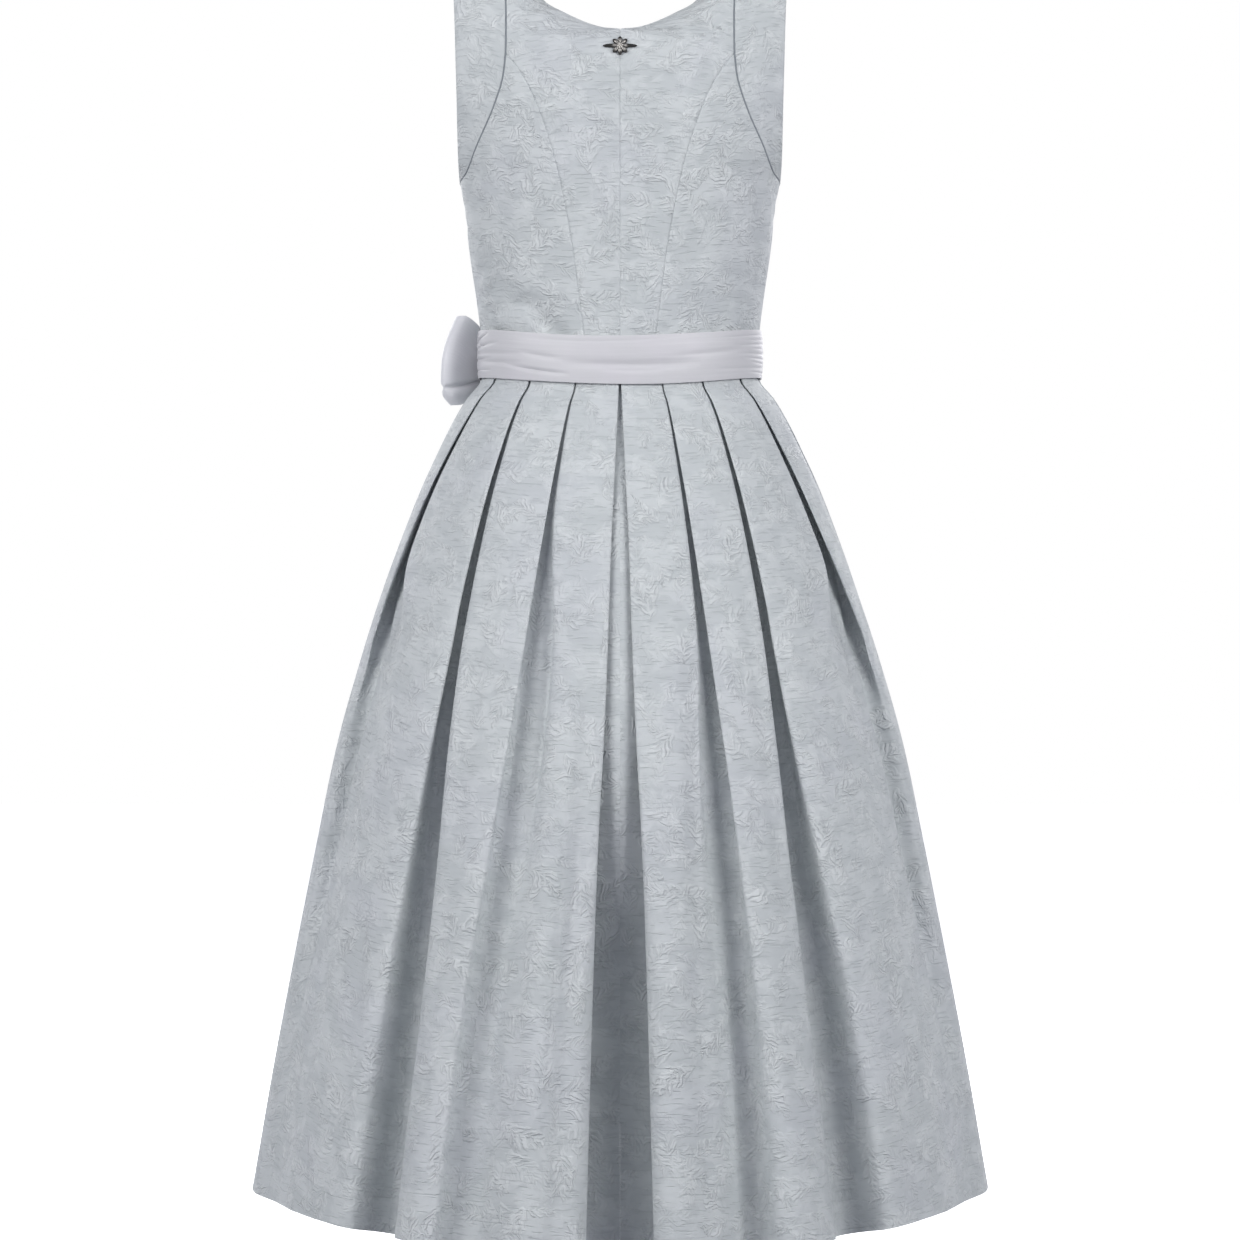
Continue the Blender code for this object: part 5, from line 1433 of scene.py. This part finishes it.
def drift_group():
    """Colour drift over a whole piece, from noise on its own coordinates."""
    tree, given, out = new_group("colour drift", [("Place", "NodeSocketVector", None),
                                                  ("Base", "NodeSocketColor", (1, 1, 1, 1)),
                                                  ("Drift", "NodeSocketColor", (1, 1, 1, 1)),
                                                  ("Amount", "NodeSocketFloat", 0.5)],
                                 [("Color", "NodeSocketColor")])
    noise = add(tree, "TexNoise", {"Vector": given["Place"], "Scale": 11.0, "Detail": 4.0})
    share = calc(tree, "MULTIPLY", remap(tree, noise.outputs[0], 0.48, 0.64), given["Amount"])
    tree.links.new(mixed(tree, share, given["Base"], given["Drift"]), out["Color"])
    return tree


def principled(name, **values):
    """New material and its tree, with fixed numbers on the shader's own sockets."""
    material = bpy.data.materials.new(name)
    material.use_nodes = True
    shader = material.node_tree.nodes["Principled BSDF"]
    for key, value in values.items():
        shader.inputs[key.replace("_", " ")].default_value = value
    return material, material.node_tree, shader


def cloth_material(name, weave, colors, drift, relief, roughness, sheen, on_object=False):
    """Woven cloth: two tones mixed by the weave, a slow drift of colour, and the weave's relief.

    drift is a colour and its amount, and relief a strength and a distance. on_object lays the weave
    by the place on the whole piece instead of the place on the cloth.
    """
    material, tree, shader = principled(name, Sheen_Weight=sheen, Sheen_Roughness=0.45,
                                        Sheen_Tint=(0.93, 0.95, 1.0, 1.0), Specular_IOR_Level=0.35)
    over_piece = add(tree, "TexCoord").outputs["Object"]
    place = over_piece if on_object else add(tree, "UVMap", uv_map="cloth").outputs[0]
    woven = add(tree, "Group", {"Place": place}, node_tree=weave).outputs
    tones = mixed(tree, woven["Tone"], *colors)
    drifted = add(tree, "Group", {"Place": over_piece, "Base": tones, "Drift": drift[0],
                                  "Amount": drift[1]}, node_tree=DRIFT)
    tree.links.new(drifted.outputs["Color"], shader.inputs["Base Color"])
    tree.links.new(remap(tree, woven["Tone"], 0.0, 1.0, *roughness), shader.inputs["Roughness"])
    bump = add(tree, "Bump", {"Height": woven["Height"], "Strength": relief[0], "Distance": relief[1]})
    tree.links.new(bump.outputs[0], shader.inputs["Normal"])
    return material


def silver_material():
    """Antique silver: bright where it is raised and worn, nearly black in the hollows."""
    material, tree, shader = principled("antique_silver_cast", Metallic=0.85)
    raised = add(tree, "Attribute", attribute_name="raised").outputs["Fac"]
    noise = add(tree, "TexNoise", {"Vector": add(tree, "TexCoord").outputs["Object"], "Scale": 900.0})
    worn = calc(tree, "ADD", raised, calc(tree, "MULTIPLY_ADD", noise.outputs[0], 0.5, -0.25))
    share = remap(tree, worn, 0.15, 0.75)
    color = mixed(tree, share, (0.035, 0.034, 0.033, 1), (0.52, 0.50, 0.47, 1))
    tree.links.new(color, shader.inputs["Base Color"])
    tree.links.new(remap(tree, share, 0.0, 1.0, 0.6, 0.3), shader.inputs["Roughness"])
    return material


WEAVE = jacquard_group()
SATIN_WEAVE = satin_group()
DRIFT = drift_group()
JACQUARD = cloth_material(
    "pale_blue_jacquard", WEAVE,
    colors=((0.490, 0.521, 0.530, 1), (0.628, 0.656, 0.660, 1)),
    drift=((0.540, 0.548, 0.612, 1), 0.16),
    relief=(0.90, 0.0013), roughness=(0.68, 0.56), sheen=0.12)
# The piping cord is real; its dark colour is painted shade, standing in for the shadow line along the
# armhole seam.
PIPING_PAINTED_SHADE = cloth_material(
    "piping_painted_shade", SATIN_WEAVE,
    colors=((0.170, 0.192, 0.210, 1), (0.230, 0.252, 0.270, 1)),
    drift=((0.190, 0.205, 0.240, 1), 0.38),
    relief=(0.3, 0.0004), roughness=(0.7, 0.6), sheen=0.1)
SATIN_LOOKS = dict(relief=(0.4, 0.0007), roughness=(0.50, 0.42), sheen=0.15)
SATIN = cloth_material(
    "pale_lilac_satin", SATIN_WEAVE,
    colors=((0.556, 0.554, 0.575, 1), (0.630, 0.627, 0.643, 1)),
    drift=((0.632, 0.608, 0.650, 1), 0.38), **SATIN_LOOKS)
# The knot, loops and ends of the bow are the same satin as the tie in lighter colours: painted light,
# making up for the light that the body and the bow's own turn keep from them.
BOW_PAINTED_LIGHT_LOOKS = dict(colors=((0.715, 0.717, 0.745, 1), (0.790, 0.792, 0.812, 1)),
                 drift=((0.690, 0.672, 0.716, 1), 0.38), **SATIN_LOOKS)
BOW_SATIN_PAINTED_LIGHT = cloth_material("pale_lilac_satin_bow_painted_light", SATIN_WEAVE, **BOW_PAINTED_LIGHT_LOOKS)
KNOT_SATIN_PAINTED_LIGHT = cloth_material("pale_lilac_satin_knot_painted_light", SATIN_WEAVE, on_object=True, **BOW_PAINTED_LIGHT_LOOKS)
ANTIQUE_SILVER = silver_material()


# Stage, light and camera

def soft_lamp(name, turn, power):
    """Broad soft lamp at a turn round the dress in degrees, above its shoulders, aimed at the skirt."""
    light = bpy.data.lights.new(name, "AREA")
    light.shape = "DISK"
    light.size = LAMP_SIZE
    light.energy = power
    lamp = put_object(name, light)
    lamp.visible_camera = False
    angle = math.radians(turn)
    lamp.location = (LAMP_REACH * math.sin(angle), LAMP_REACH * math.cos(angle), LAMP_HEIGHT)
    fall = math.atan2(LAMP_HEIGHT - LAMP_AIM, LAMP_REACH)
    lamp.rotation_euler = (math.pi / 2 - fall, 0.0, math.pi - angle)


def build_floor():
    """Pale floor that throws no light on the dress."""
    corners = [(-1, -1), (1, -1), (1, 1), (-1, 1)]
    points = [(x * FLOOR_REACH, y * FLOOR_REACH, -FLOOR_DROP) for x, y in corners]
    mesh = bpy.data.meshes.new("floor")
    mesh.from_pydata(points, [], [[0, 1, 2, 3]])
    pale, _, _ = principled("pale_floor", Roughness=0.8, Base_Color=(0.90, 0.90, 0.90, 1),
                            Emission_Color=(1, 1, 1, 1), Emission_Strength=1.0)
    mesh.materials.append(pale)
    floor = put_object("floor", mesh)
    floor.visible_diffuse = False


def light_world():
    """Surroundings that look white and light the dress dimly."""
    world = bpy.data.worlds.new("studio")
    bpy.context.scene.world = world
    world.use_nodes = True
    tree = world.node_tree
    seen = add(tree, "LightPath").outputs["Is Camera Ray"]
    color = mixed(tree, seen, (*AMBIENT, 1), (1, 1, 1, 1))
    tree.links.new(color, tree.nodes["Background"].inputs["Color"])


def place_camera():
    """Camera behind the dress, level with its middle."""
    camera = bpy.data.cameras.new("camera")
    camera.sensor_width = SENSOR
    camera.lens = SENSOR * CAMERA_DISTANCE / FRAME_WIDTH
    eye = put_object("camera", camera)
    eye.location = (0.0, CAMERA_DISTANCE, -CAMERA_DROP)
    eye.rotation_euler = (math.pi / 2, 0.0, math.pi)
    bpy.context.scene.camera = eye
    bpy.context.scene.view_settings.view_transform = "Standard"


build_band()
build_apron()
build_bodice()
build_skirt()
build_knot()
build_loop("bow_loop_back", 1)
build_loop("bow_loop_front", -1)
build_end("bow_end_front", BOW_END_FRONT, 0.4)
build_end("bow_end_side", BOW_END_SIDE, 2.1)
build_ornament()
build_floor()
light_world()
for lamp_name, lamp_turn, lamp_power in LAMPS:
    soft_lamp(lamp_name, lamp_turn, lamp_power)
place_camera()
